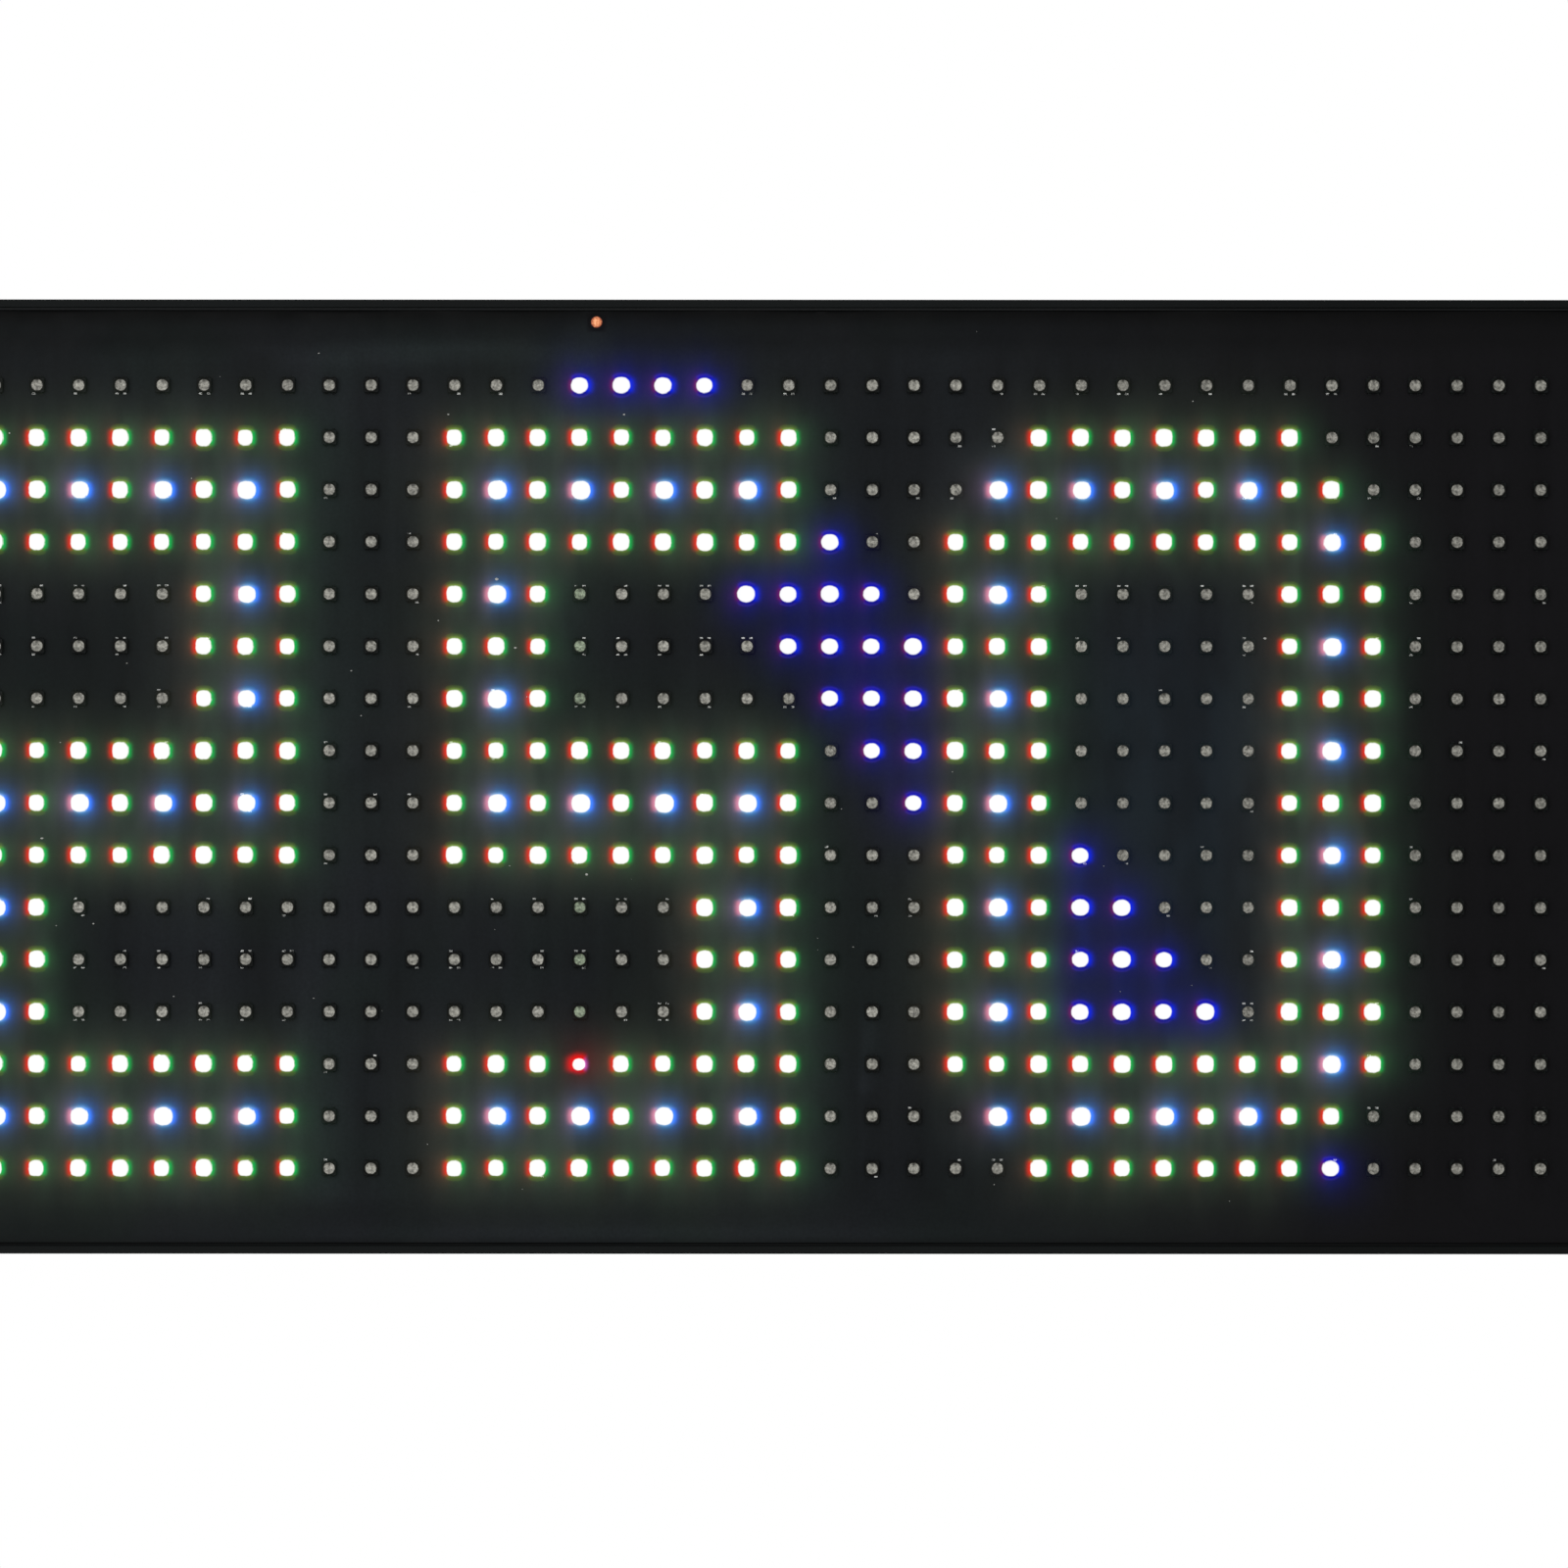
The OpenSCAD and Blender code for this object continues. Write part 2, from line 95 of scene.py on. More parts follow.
def on_midline(figure, column, row):
    """Every other lamp on the middle of a stroke is cool white."""
    segments, _, width, cut = figure
    right, side = width - 2, 0 if cut else 1
    odd_column, odd_row = column % 2 == 1, row % 2 == 1
    lamps = {
        "a": row == 1 and odd_column and column < right + side,
        "d": row == LAST_ROW - 1 and odd_column and column < right + side,
        "g": row == MID_ROW and odd_column,
        "b": column == right and 0 < row <= MID_ROW and row % 2 == side,
        "c": column == right and MID_ROW <= row < LAST_ROW and row % 2 == side,
        "e": column == 1 and MID_ROW <= row < LAST_ROW and odd_row,
        "f": column == 1 and 0 < row <= MID_ROW and odd_row,
    }
    return any(lamps[segment] for segment in segments)


def lamp_state(column, row):
    """What a lamp shows. Columns count from 0 at the left, rows from 1 at the top."""
    across, down = column - FIRST_COLUMN, row - FIRST_ROW
    for figure in FIGURES:
        if in_figure(figure, across - figure[1], down):
            if (across, down) == (RED_COLUMN, RED_ROW):
                return RED
            return COOL if on_midline(figure, across - figure[1], down) else WARM
    return BLUE if BAND_FROM <= across - down < BAND_TO else UNLIT


def lamp_x(column):
    return (column - (COLUMNS - 1) / 2) * PITCH_X


def lamp_z(row):
    return ((ROWS + 1) / 2 - row) * PITCH_Z


STATE = {(c, r): lamp_state(c, r) for r in range(1, ROWS + 1) for c in range(COLUMNS)}
FINE_COLUMNS = range(FIRST_COLUMN - 2, FIRST_COLUMN + 43)  # where the circuit's mesh is fine


def ghost(column, row):
    """Unlit lamps of the red lamp's column that leak a little green."""
    return column == FIRST_COLUMN + RED_COLUMN and (5 <= row <= 7 or 11 <= row <= 13)


# Mesh helpers


def make_piece(name, verts, faces, materials, index=None, smooth=None):
    """A piece from points in millimetres. smooth is the angle above which an edge stays sharp."""
    mesh = bpy.data.meshes.new(name)
    mesh.from_pydata((np.asarray(verts, float) * MM).tolist(), [], faces)
    for material in materials:
        mesh.materials.append(material)
    if index is not None:
        mesh.polygons.foreach_set("material_index", np.asarray(index, np.int32))
    mesh.update()
    if smooth is not None:
        mesh.shade_smooth()
        mesh.set_sharp_from_angle(angle=math.radians(smooth))
    piece = bpy.data.objects.new(name, mesh)
    bpy.context.scene.collection.objects.link(piece)
    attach(piece, "root")
    return piece


def paint(piece, name, values):
    """One colour or number for each point of the mesh."""
    values = np.asarray(values, np.float32)
    attributes = piece.data.attributes
    if values.ndim == 1:
        attributes.new(name, "FLOAT", "POINT").data.foreach_set("value", values)
        return
    full = np.ones((len(values), 4), np.float32)
    full[:, :3] = values
    attributes.new(name, "FLOAT_COLOR", "POINT").data.foreach_set("color", full.ravel())


class Shape:
    """Points and faces gathered before they become a mesh."""

    def __init__(self):
        self.verts, self.faces = [], []

    def add(self, points, faces):
        start = len(self.verts)
        self.verts.extend(points)
        self.faces.extend(tuple(start + i for i in face) for face in faces)

    def rings(self, loops, close_last=False):
        """Skins a row of closed loops that have the same number of points."""
        n, start = len(loops[0]), len(self.verts)
        for loop in loops:
            self.verts.extend(loop)
        for ring in range(len(loops) - 1):
            for i in range(n):
                j, p = (i + 1) % n, start + ring * n
                self.faces.append((p + i, p + j, p + n + j, p + n + i))
        if close_last:
            self.faces.append(tuple(start + (len(loops) - 1) * n + i for i in range(n)))

    def plate(self, outline, holes, y, flip=False):
        """A flat face with holes at the depth y."""
        flat, edges = [], []
        for loop in [outline, *holes]:
            first, n = len(flat), len(loop)
            flat.extend(loop)
            edges.extend((first + i, first + (i + 1) % n) for i in range(n))
        points, _, faces, _, _, _ = delaunay_2d_cdt(flat, edges, [], 1, 1e-6)
        kept = []
        for face in faces:
            middle = np.mean([points[i] for i in face], axis=0)
            if any(inside(middle, hole) for hole in holes):
                continue
            a, b, c = (np.array(points[i]) for i in face[:3])
            turn = (b[0] - a[0]) * (c[1] - a[1]) - (b[1] - a[1]) * (c[0] - a[0])
            kept.append(tuple(face) if (turn > 0) != flip else tuple(reversed(face)))
        self.add(at_depth(points, y), kept)


def inside(point, loop):
    hit = False
    for (x0, z0), (x1, z1) in zip(loop, loop[1:] + loop[:1]):
        if (z0 > point[1]) != (z1 > point[1]):
            crossing = (x1 - x0) * (point[1] - z0) / (z1 - z0) + x0
            hit = hit != (point[0] < crossing)
    return hit


def circle(radius, n, x=0.0, z=0.0):
    turn = [2 * math.pi * (i + 0.5) / n for i in range(n)]
    return [(x + radius * math.cos(t), z + radius * math.sin(t)) for t in turn]


def rounded(width, height, radius, n):
    """A rounded rectangle round the origin, anticlockwise, with n steps in each corner."""
    out = []
    for side_x, side_z, start in ((1, 1, 0), (-1, 1, 90), (-1, -1, 180), (1, -1, 270)):
        for i in range(n + 1):
            turn = math.radians(start + 90 * i / n)
            x = side_x * (width / 2 - radius) + radius * math.cos(turn)
            z = side_z * (height / 2 - radius) + radius * math.sin(turn)
            out.append((x, z))
    return out


def at_depth(loop, y):
    return [(x, y, z) for x, z in loop]


# Node helpers


class Look:
    """A material and short names for the nodes that it is made from."""

    def __init__(self, name, colour=(0.5, 0.5, 0.5), rough=0.5, ior=1.5, metallic=0.0):
        self.mat = bpy.data.materials.new(name)
        self.mat.use_nodes = True
        self.tree = self.mat.node_tree
        self.bsdf = self.tree.nodes["Principled BSDF"]
        self.set("Base Color", (*colour, 1))
        self.set("Roughness", rough)
        self.set("IOR", ior)
        self.set("Metallic", metallic)

    def set(self, socket, value):
        self.join(value, self.bsdf.inputs[socket])

    def join(self, value, socket):
        if isinstance(value, bpy.types.NodeSocket):
            self.tree.links.new(value, socket)
        elif value is not None:
            socket.default_value = value

    def node(self, kind, *values, **settings):
        """A new node with its settings and the values of its first inputs."""
        node = self.tree.nodes.new(kind)
        for name, value in settings.items():
            setattr(node, name, value)
        for value, socket in zip(values, node.inputs):
            self.join(value, socket)
        return node

    def calc(self, operation, *values):
        return self.node("ShaderNodeMath", *values, operation=operation).outputs[0]

    def vec(self, operation, a, b=None, scale=None):
        node = self.node("ShaderNodeVectorMath", a, b, operation=operation)
        if scale is not None:
            self.join(scale, node.inputs["Scale"])
        return node.outputs["Value" if operation == "DISTANCE" else "Vector"]

    def mix(self, factor, a, b):
        node = self.node("ShaderNodeMix", data_type="RGBA")
        self.join(factor, node.inputs["Factor"])
        for value, socket in ((a, node.inputs[6]), (b, node.inputs[7])):
            self.join((*value, 1) if isinstance(value, tuple) else value, socket)
        return node.outputs[2]

    def ramp(self, value, low, high, out_low=0.0, out_high=1.0, smooth=True):
        kind = "SMOOTHSTEP" if smooth else "LINEAR"
        values = (value, low, high, out_low, out_high)
        return self.node("ShaderNodeMapRange", *values, interpolation_type=kind).outputs[0]

    def place(self):
        """Place on the object in millimetres."""
        at = self.node("ShaderNodeTexCoord").outputs["Object"]
        return self.vec("SCALE", at, scale=1 / MM)

    def split(self, vector):
        return self.node("ShaderNodeSeparateXYZ", vector).outputs[:3]

    def combine(self, x, y, z):
        return self.node("ShaderNodeCombineXYZ", x, y, z).outputs[0]

    def from_lamp(self, x, z, unit=1.0, shift=(0.0, 0.0)):
        """The way from the nearest lamp to a place, right and up, in units, less a shift."""
        away = []
        for value, pitch, less in ((x, PITCH_X, shift[0]), (z, PITCH_Z, shift[1])):
            part = self.calc("FRACT", self.calc("DIVIDE", value, pitch))
            span = pitch / unit
            away.append(self.calc("MULTIPLY_ADD", part, span, -span / 2 - less))
        return away

    def noise(self, period, at=None, detail=2.0, rough=0.5, stretch=None, seed=0.0):
        """Soft noise from 0 to 1. Its lumps are about period wide, in millimetres, or stretch."""
        at = at or self.place()
        x, y, z = stretch or (period,) * 3
        at = self.vec("MULTIPLY", at, (1 / x, 1 / y, 1 / z))
        node = self.node("ShaderNodeTexNoise", at, noise_dimensions="4D")
        values = {"W": seed, "Scale": 1.0, "Detail": detail, "Roughness": rough}
        for name, value in values.items():
            node.inputs[name].default_value = value
        return node.outputs["Fac"]

    def attribute(self, name, out="Color"):
        node = self.node("ShaderNodeAttribute", attribute_name=name, attribute_type="GEOMETRY")
        return node.outputs[out]

    def bump(self, height, strength, distance):
        node = self.node("ShaderNodeBump")
        node.inputs["Strength"].default_value = strength
        node.inputs["Distance"].default_value = distance * MM
        self.join(height, node.inputs["Height"])
        self.set("Normal", node.outputs[0])

    def shine(self, state):
        """Gives off the light that a lamp in this state leaves round it."""
        self.set("Emission Color", lamp_light(self, state))
        self.set("Emission Strength", 1.0)


# The lamps' light

# For each state: the white core's centre, half width and half height and the power of its
# outline, then the colour and width of the fringe to its left, right, top and bottom and the
# colour of the thin arc above and below, all in pixels of the photograph.
FRINGE = {
    WARM: (
        (-0.6, 0.0, 8.0, 8.4, 2.6),
        (
            ((0.73, 0.012, 0.0), 3.7),
            ((0.0, 0.42, 0.07), 3.2),
            ((0.18, 0.30, 0.04), 2.3),
            ((0.10, 0.17, 0.02), 2.4),
        ),
        (0.02, 0.035, 0.0),
    ),
    COOL: (
        (0.7, -0.4, 9.2, 9.0, 2.3),
        (
            ((0.56, 0.13, 0.15), 4.1),
            ((0.02, 0.08, 0.62), 4.0),
            ((0.12, 0.20, 0.30), 2.2),
            ((0.08, 0.16, 0.22), 2.0),
        ),
        (0.0, 0.02, 0.03),
    ),
    BLUE: (
        (-0.85, 0.0, 8.6, 8.0, 2.1),
        (
            ((0.13, 0.0, 0.09), 3.0),
            ((0.0, 0.015, 0.74), 4.8),
            ((0.0, 0.0, 0.45), 4.0),
            ((0.0, 0.0, 0.27), 3.0),
        ),
        (0.01, 0.005, 0.08),
    ),
    RED: (
        (-1.0, -0.4, 5.9, 5.6, 2.2),
        (
            ((0.84, 0.0, 0.002), 5.8),
            ((0.58, 0.10, 0.48), 2.8),
            ((0.86, 0.0, 0.0), 4.7),
            ((0.60, 0.0, 0.01), 3.6),
        ),
        (0.0, 0.0, 0.0),
    ),
}
CORE = {
    WARM: (1.0, 1.0, 0.98),
    COOL: (1.0, 1.0, 1.0),
    BLUE: (0.98, 0.98, 1.0),
    RED: (1.0, 0.95, 0.88),
}
FRINGE_POWER = 2.1  # how suddenly a fringe ends at its width
ARC_AT = 3.9  # pixels from the core's edge to the thin arc
EDGE = 0.8  # half width in pixels of the core's soft edge
ODD = 0.3  # how far a lamp's core may stand off its place, in pixels
# The soft glow that each lamp leaves round it, as layers: the strength at the lamp, the
# distance in pixels over which it falls to a third, how far it is shifted to the right in
# pixels and how far it leans to the left (-1) or right (1). Past HALO pixels a point of the
# mesh carries it, and the material adds the rest nearer the lamp.
WIDE = {
    WARM: [
        ((0.036, 0.0, 0.0), 17, 0, -0.25),
        ((0.0, 0.037, 0.023), 17, 0, 0),
        ((0.02, 0.075, 0.0), 6, 0, 0),
        ((0.38, 0.0, 0.0), 6, 0, -1),
        ((0.0, 0.09, 0.01), 8, 0, 1),
    ],
    COOL: [
        ((0.082, 0.0, 0.0), 17, 0, -0.3),
        ((0.0, 0.082, 0.098), 17, 0, 0),
        ((0.0, 0.0, 2.2), 5.2, 4.3, 0),
        ((0.0, 1.1, 0.0), 4.0, 2.3, 0),
        ((0.45, 0.0, 0.0), 6, 0, -1),
    ],
    BLUE: [((0.0, 0.0, 0.27), 11, 0, 0), ((0.2, 0.0, 0.0), 6, 0, -1)],
    RED: [((0.11, 0.0, 0.0), 12, 0, 0)],
}
HALO = 13
REACH = 7  # a layer ends at this many times the distance over which it falls
# Faint light that gathers inside the last figure: its middle, half width and half height
HAZE_AT, HAZE_SIZE, HAZE = (57.0, -9.0), (15.0, 34.0), (0.0030, 0.0062, 0.0090)


def wide_glow(verts):
    """The soft glow of all lamps together at points of the panel."""
    x, z = verts[:, 0], verts[:, 2]
    out = np.zeros((len(x), 3))
    for (column, row), state in STATE.items():
        for colour, fall, shift, lean in WIDE.get(state, ()):
            across = (x - lamp_x(column)) / PX - shift
            away = np.hypot(across, (z - lamp_z(row)) / PX)
            near = away < REACH * fall
            held = np.maximum(away[near], HALO)
            lobe = np.maximum(1 - abs(lean) + lean * across[near] / held, 0)
            out[near] += (lobe * np.exp(-held / fall))[:, None] * np.array(colour)
    u, v = (x - HAZE_AT[0]) / HAZE_SIZE[0], (z - HAZE_AT[1]) / HAZE_SIZE[1]
    return out + np.exp(-(u**4) - v**4)[:, None] * np.array(HAZE)


def near_glow(look, state, u, v):
    """The part of the soft glow inside HALO. u and v are pixels from the lamp."""
    total = (0.0, 0.0, 0.0)
    for colour, fall, shift, lean in WIDE[state]:
        across = look.calc("SUBTRACT", u, shift)
        away = look.calc("MULTIPLY_ADD", across, across, look.calc("MULTIPLY", v, v))
        away = look.calc("SQRT", away)
        near = look.calc("EXPONENT", look.calc("MULTIPLY", away, -1 / fall))
        near = look.calc("MAXIMUM", look.calc("SUBTRACT", near, math.exp(-HALO / fall)), 0)
        if lean:
            lobe = look.calc("DIVIDE", across, look.calc("ADD", away, 0.01))
            lobe = look.calc("MULTIPLY_ADD", lobe, lean, 1 - abs(lean))
            near = look.calc("MULTIPLY", near, look.calc("MAXIMUM", lobe, 0))
        total = look.vec("ADD", total, look.vec("SCALE", colour, scale=near))
    return total


def lamp_light(look, state):
    """Nodes for the light of a lamp in this state, as a function of the place round it."""
    x, _, z = look.split(look.place())
    flat = look.combine(x, 0.0, z)
    patches = look.noise(0, flat, 2.0, 0.6, (7.0, 7.0, 15.0), 3.3)
    wide = look.vec(
        "SCALE", look.attribute("glow"), scale=look.ramp(patches, 0.32, 0.68, 0.7, 1.3)
    )
    if state == UNLIT:
        return wide
    (shift_x, shift_z, half_w, half_h, power), fringes, arc = FRINGE[state]
    (left, left_w), (right, right_w), (top, top_w), (bottom, bottom_w) = fringes

    # Each lamp's own small difference in place and size
    column = look.calc("FLOOR", look.calc("DIVIDE", x, PITCH_X))
    row = look.calc("FLOOR", look.calc("DIVIDE", z, PITCH_Z))
    cell = look.node(
        "ShaderNodeTexWhiteNoise", look.combine(column, row, 0.0), noise_dimensions="2D"
    )
    odd = look.node("ShaderNodeSeparateColor", cell.outputs["Color"]).outputs
    odd_u, odd_v, odd_size = odd[:3]
    u, v = look.from_lamp(x, z, PX, (shift_x, shift_z))
    wide = look.vec("ADD", wide, near_glow(look, state, look.calc("ADD", u, shift_x), v))

    # How far a place is beyond the core's rounded outline, in pixels
    u = look.calc("ADD", u, look.ramp(odd_u, 0.0, 1.0, -ODD, ODD, False))
    v = look.calc("ADD", v, look.ramp(odd_v, 0.0, 1.0, -ODD, ODD, False))
    u, v = look.calc("DIVIDE", u, half_w), look.calc("DIVIDE", v, half_h)
    sides = [look.calc("POWER", look.calc("ABSOLUTE", w), power) for w in (u, v)]
    beyond = look.calc("POWER", look.calc("ADD", *sides), 1 / power)
    beyond = look.calc("MULTIPLY_ADD", beyond, half_w, -half_w)
    uneven = look.calc("ADD", look.noise(0.5, flat, 1.0), odd_size)
    beyond = look.calc("ADD", beyond, look.ramp(uneven, 0.4, 1.6, -0.6, 0.6, False))

    # The fringe takes its colour and width from the side that the place is on
    u2, v2 = look.calc("MULTIPLY", u, u), look.calc("MULTIPLY", v, v)
    tilt = look.calc("DIVIDE", u2, look.calc("ADD", look.calc("ADD", u2, v2), 1e-6))
    tilt = look.ramp(tilt, 0.2, 0.85)
    to_right, to_top = look.ramp(u, -0.3, 0.3), look.ramp(v, -0.3, 0.3)
    colour = look.mix(
        tilt, look.mix(to_top, bottom, top), look.mix(to_right, left, right)
    )
    side = look.ramp(to_right, 0.0, 1.0, left_w, right_w, False)
    end = look.ramp(to_top, 0.0, 1.0, bottom_w, top_w, False)
    width = look.ramp(tilt, 0.0, 1.0, end, side, False)
    near = look.calc("DIVIDE", look.calc("MAXIMUM", beyond, 0), width)
    near = look.calc("MULTIPLY", look.calc("POWER", near, FRINGE_POWER), -1.0)
    near = look.calc("EXPONENT", near)
    light = look.vec("SCALE", colour, scale=near)
    bow = look.calc("ABSOLUTE", look.calc("SUBTRACT", beyond, ARC_AT))
    bow = look.calc("MULTIPLY", look.calc("POWER", bow, 2.0), -0.8)
    bow = look.calc("MULTIPLY", look.calc("EXPONENT", bow), look.ramp(tilt, 0.0, 0.6, 1.0, 0.0))
    light = look.vec("ADD", light, look.vec("SCALE", arc, scale=bow))
    if state != COOL:
        wide = look.vec("SCALE", wide, scale=look.calc("MULTIPLY_ADD", near, -0.8, 1.0))
    return look.mix(
        look.ramp(beyond, EDGE, -EDGE), look.vec("ADD", light, wide), CORE[state]
    )


# Materials of the panel

# Painted shade: the darkening between these places stands in for light that falls off to the
# right
DIM_FROM, DIM_TO = 15.0, 92.0  # the panel gets darker to the right between these places


def board_look(name, state):
    """Satin black coating of the circuit, with soft upright streaks of painted reflection."""
    look = Look(name, rough=0.45, ior=1.12)
    at = look.place()
    x, _, z = look.split(at)
    # Painted reflection: broad, fine and mottle make the soft upright streaks of sheen
    broad = look.noise(0, at, 2.0, 0.55, (9.0, 9.0, 46.0), 1.3)
    fine = look.noise(0, at, 3.0, 0.6, (2.2, 9.0, 22.0), 4.1)
    mottle = look.noise(5.0, at, 3.0, 0.55, None, 7.7)
    grain = look.noise(0.42, at, 1.0, 0.5, None, 2.2)
    # The painted streaks of reflection stay between the first and last rows of lamps
    painted_streak_mask = look.ramp(look.calc("ABSOLUTE", z), 58.5, 55.5, 0.12, 1.0)
    parts = look.calc("MULTIPLY_ADD", broad, 1.1, look.calc("MULTIPLY", fine, 0.7))
    parts = look.calc("MULTIPLY_ADD", mottle, 0.7, parts)
    parts = look.calc("MULTIPLY_ADD", look.calc("SUBTRACT", parts, 1.25), painted_streak_mask, 1.0)
    parts = look.calc("MULTIPLY", parts, look.ramp(grain, 0.25, 0.75, 0.86, 1.14, False))
    parts = look.calc("MAXIMUM", parts, 0.15)
    # shade carries the painted light and shade of board_shade
    level = look.calc("MULTIPLY", parts, look.attribute("shade", "Fac"))
    patch = look.ramp(look.noise(16.0, at, 1.0, 0.5, None, 9.4), 0.35, 0.65)
    tint = look.mix(patch, (0.0050, 0.0071, 0.0073), (0.0057, 0.0069, 0.0083))
    tint = look.mix(look.ramp(x, DIM_FROM, DIM_TO), tint, (0.0066, 0.0063, 0.0077))
    look.set("Base Color", look.vec("SCALE", tint, scale=level))
    look.set("Roughness", look.ramp(mottle, 0.3, 0.7, 0.38, 0.52, False))
    look.shine(state)
    look.bump(grain, 0.12, 0.05)
    return look.mat


def housing_look(name, state):
    """Black moulded plastic of a lamp's body, darker in and round its cup."""
    look = Look(name, rough=0.4, ior=1.12)
    at = look.place()
    x, _, z = look.split(at)
    u, v = look.from_lamp(x, z)
    away = look.calc("ADD", look.calc("MULTIPLY", u, u), look.calc("MULTIPLY", v, v))
    outside = look.ramp(look.calc("SQRT", away), 0.95, 1.12)
    tone = look.mix(outside, (0.0018, 0.0021, 0.0017), (0.0045, 0.0054, 0.0055))
    look.set("Base Color", tone)
    look.set("Roughness", look.ramp(look.noise(0.25, at, 1.0), 0.3, 0.7, 0.34, 0.5, False))
    look.shine(state)
    return look.mat


def unlit_level(look):
    """How light a place of an unlit window is: a dark rim and notch, darker over the chips."""
    at = look.place()
    x, _, z = look.split(at)
    u, v = look.from_lamp(x, z)
    speckle = look.ramp(look.noise(0.3, at, 2.0, 0.75), 0.3, 0.7, 0.3, 1.65, False)
    slow = look.noise(7.0, at, 0.0, 0.5, None, 5.0)
    slow = look.ramp(slow, 0.35, 0.65, 0.88, 1.1, False)
    # Painted shade: the windows get darker to the right, as the panel does
    slow = look.calc("MULTIPLY", slow, look.ramp(x, DIM_FROM, DIM_TO, 1.0, 0.8))
    bar = look.ramp(look.calc("ABSOLUTE", v), 0.05, 0.2, 1.12, 0.97)
    chips = look.calc("ABSOLUTE", look.calc("SUBTRACT", look.calc("ABSOLUTE", v), 0.38))
    chips = look.calc("MAXIMUM", look.calc("ABSOLUTE", u), look.calc("MULTIPLY", chips, 1.3))
    chips = look.ramp(chips, 0.1, 0.26, 0.7, 1.0)
    rim = [look.calc("POWER", look.calc("ABSOLUTE", w), 3.0) for w in (u, v)]
    rim = look.calc("POWER", look.calc("ADD", *rim), 1 / 3)
    ragged = look.ramp(look.noise(0.45, at, 1.0), 0.3, 0.7, -0.09, 0.09, False)
    rim = look.ramp(look.calc("ADD", rim, ragged), 0.58, 0.78, 1.0, 0.25)
    notch = look.vec("DISTANCE", look.combine(u, 0.0, v), (0.0, 0.0, 0.62))
    level = look.ramp(notch, 0.1, 0.3, 0.45, 1.0)
    for part in (speckle, slow, bar, chips, rim):
        level = look.calc("MULTIPLY", level, part)
    return level


def window_look(name, state, tint):
    """Resin in a lamp's cup: grey and mottled over the chips when unlit, white when lit."""
    look = Look(name, tint, rough=0.35, ior=1.2)
    if state == UNLIT:
        look.set("Base Color", look.vec("SCALE", tint, scale=unlit_level(look)))
    else:
        look.shine(state)
    return look.mat


# Circuit


def soft_segment(x, z, start, end, width):
    """1 on the line from start to end, fading to 0 away from it."""
    dx, dz = end[0] - start[0], end[1] - start[1]
    part = np.clip(((x - start[0]) * dx + (z - start[1]) * dz) / (dx * dx + dz * dz), 0, 1)
    away = np.hypot(x - start[0] - part * dx, z - start[1] - part * dz)
    return np.exp(-((away / width) ** 2))


def step(value, low, high):
    part = np.clip((value - low) / (high - low), 0, 1)
    return part * part * (3 - 2 * part)


def bell(value, middle, width):
    return np.exp(-(((value - middle) / width) ** 2))


# Upright bands of light or shade: strength, place and width
BANDS = ((0.35, -79, 6), (0.4, -58, 9), (0.15, -35, 7), (-0.35, -68, 3))
# Soft strokes on the coating, a faint scratch first, then painted streaks of light and one of
# shade: strength, both ends and width
STROKES = (
    (0.35, (-13.4, -4.3), (-2.9, -8.2), 0.5),
    (0.5, (-24, 58), (-32, 38), 3.2),
    (0.6, (1.1, 4), (0.6, -27), 0.8),
    (0.6, (13.6, -32.5), (13.2, -41.7), 0.9),
    (-0.3, (-58, -1), (-48, 3), 1.8),
)
# A dark oval mark: its middle, half width, half height and slant
MARK_AT, MARK_SIZE, MARK_SLANT = (-77.7, -1.3), (1.7, 4.6), math.radians(10)


def board_shade(verts):
    """How light the coating looks, 1 being plain: painted light and shade in broad soft bands,
    strokes and darker edges, a faint scratch and a dark mark.
    """
    x, z = verts[:, 0], verts[:, 2]
    # Painted shade: darker to the right, then lighter again far to the right
    shade = 1 - 0.5 * step(x, DIM_FROM, DIM_TO) + 0.3 * step(x, 112, 190)
    field = step(abs(z), 58, 56)
    for strength, place, width in BANDS:
        shade += field * strength * bell(x, place, width)
    from_top, from_bottom = CIRCUIT_H / 2 - z, z + CIRCUIT_H / 2
    # Painted shadow under the top rim, and painted shade in the bottom groove and along the top
    # margin
    shade *= 0.12 + 0.88 * step(from_top, 0.2, 2.8)
    shade *= 0.55 + 0.45 * step(from_bottom, 0, 0.9)
    shade *= 1 - 0.35 * step(z, 56.5, 58.5)
    # Painted sheen: soft bands of reflected light above the first row and just above the bottom
    # edge
    shade += 1.2 * bell(z, 57.2, 1.7) * bell(x, -44, 18)
    shade += 0.7 * bell(z, -61.2, 1.2) * bell(x, -18, 38)
    shade *= 1 - 0.2 * step(x, -80, -95)
    for strength, start, end, width in STROKES:
        shade += strength * soft_segment(x, z, start, end, width)
    u, v = x - MARK_AT[0], z - MARK_AT[1]
    across = (u * math.cos(MARK_SLANT) + v * math.sin(MARK_SLANT)) / MARK_SIZE[0]
    along = (v * math.cos(MARK_SLANT) - u * math.sin(MARK_SLANT)) / MARK_SIZE[1]
    shade -= 0.75 * np.exp(-((across**2 + along**2) ** 1.5))
    # Painted shade in the recess round the copper pad
    shade *= np.where(np.hypot(x - PAD_X, z - PAD_Z) < PAD_RING_R + 0.05, 0.15, 1)
    return np.maximum(shade, 0.05)


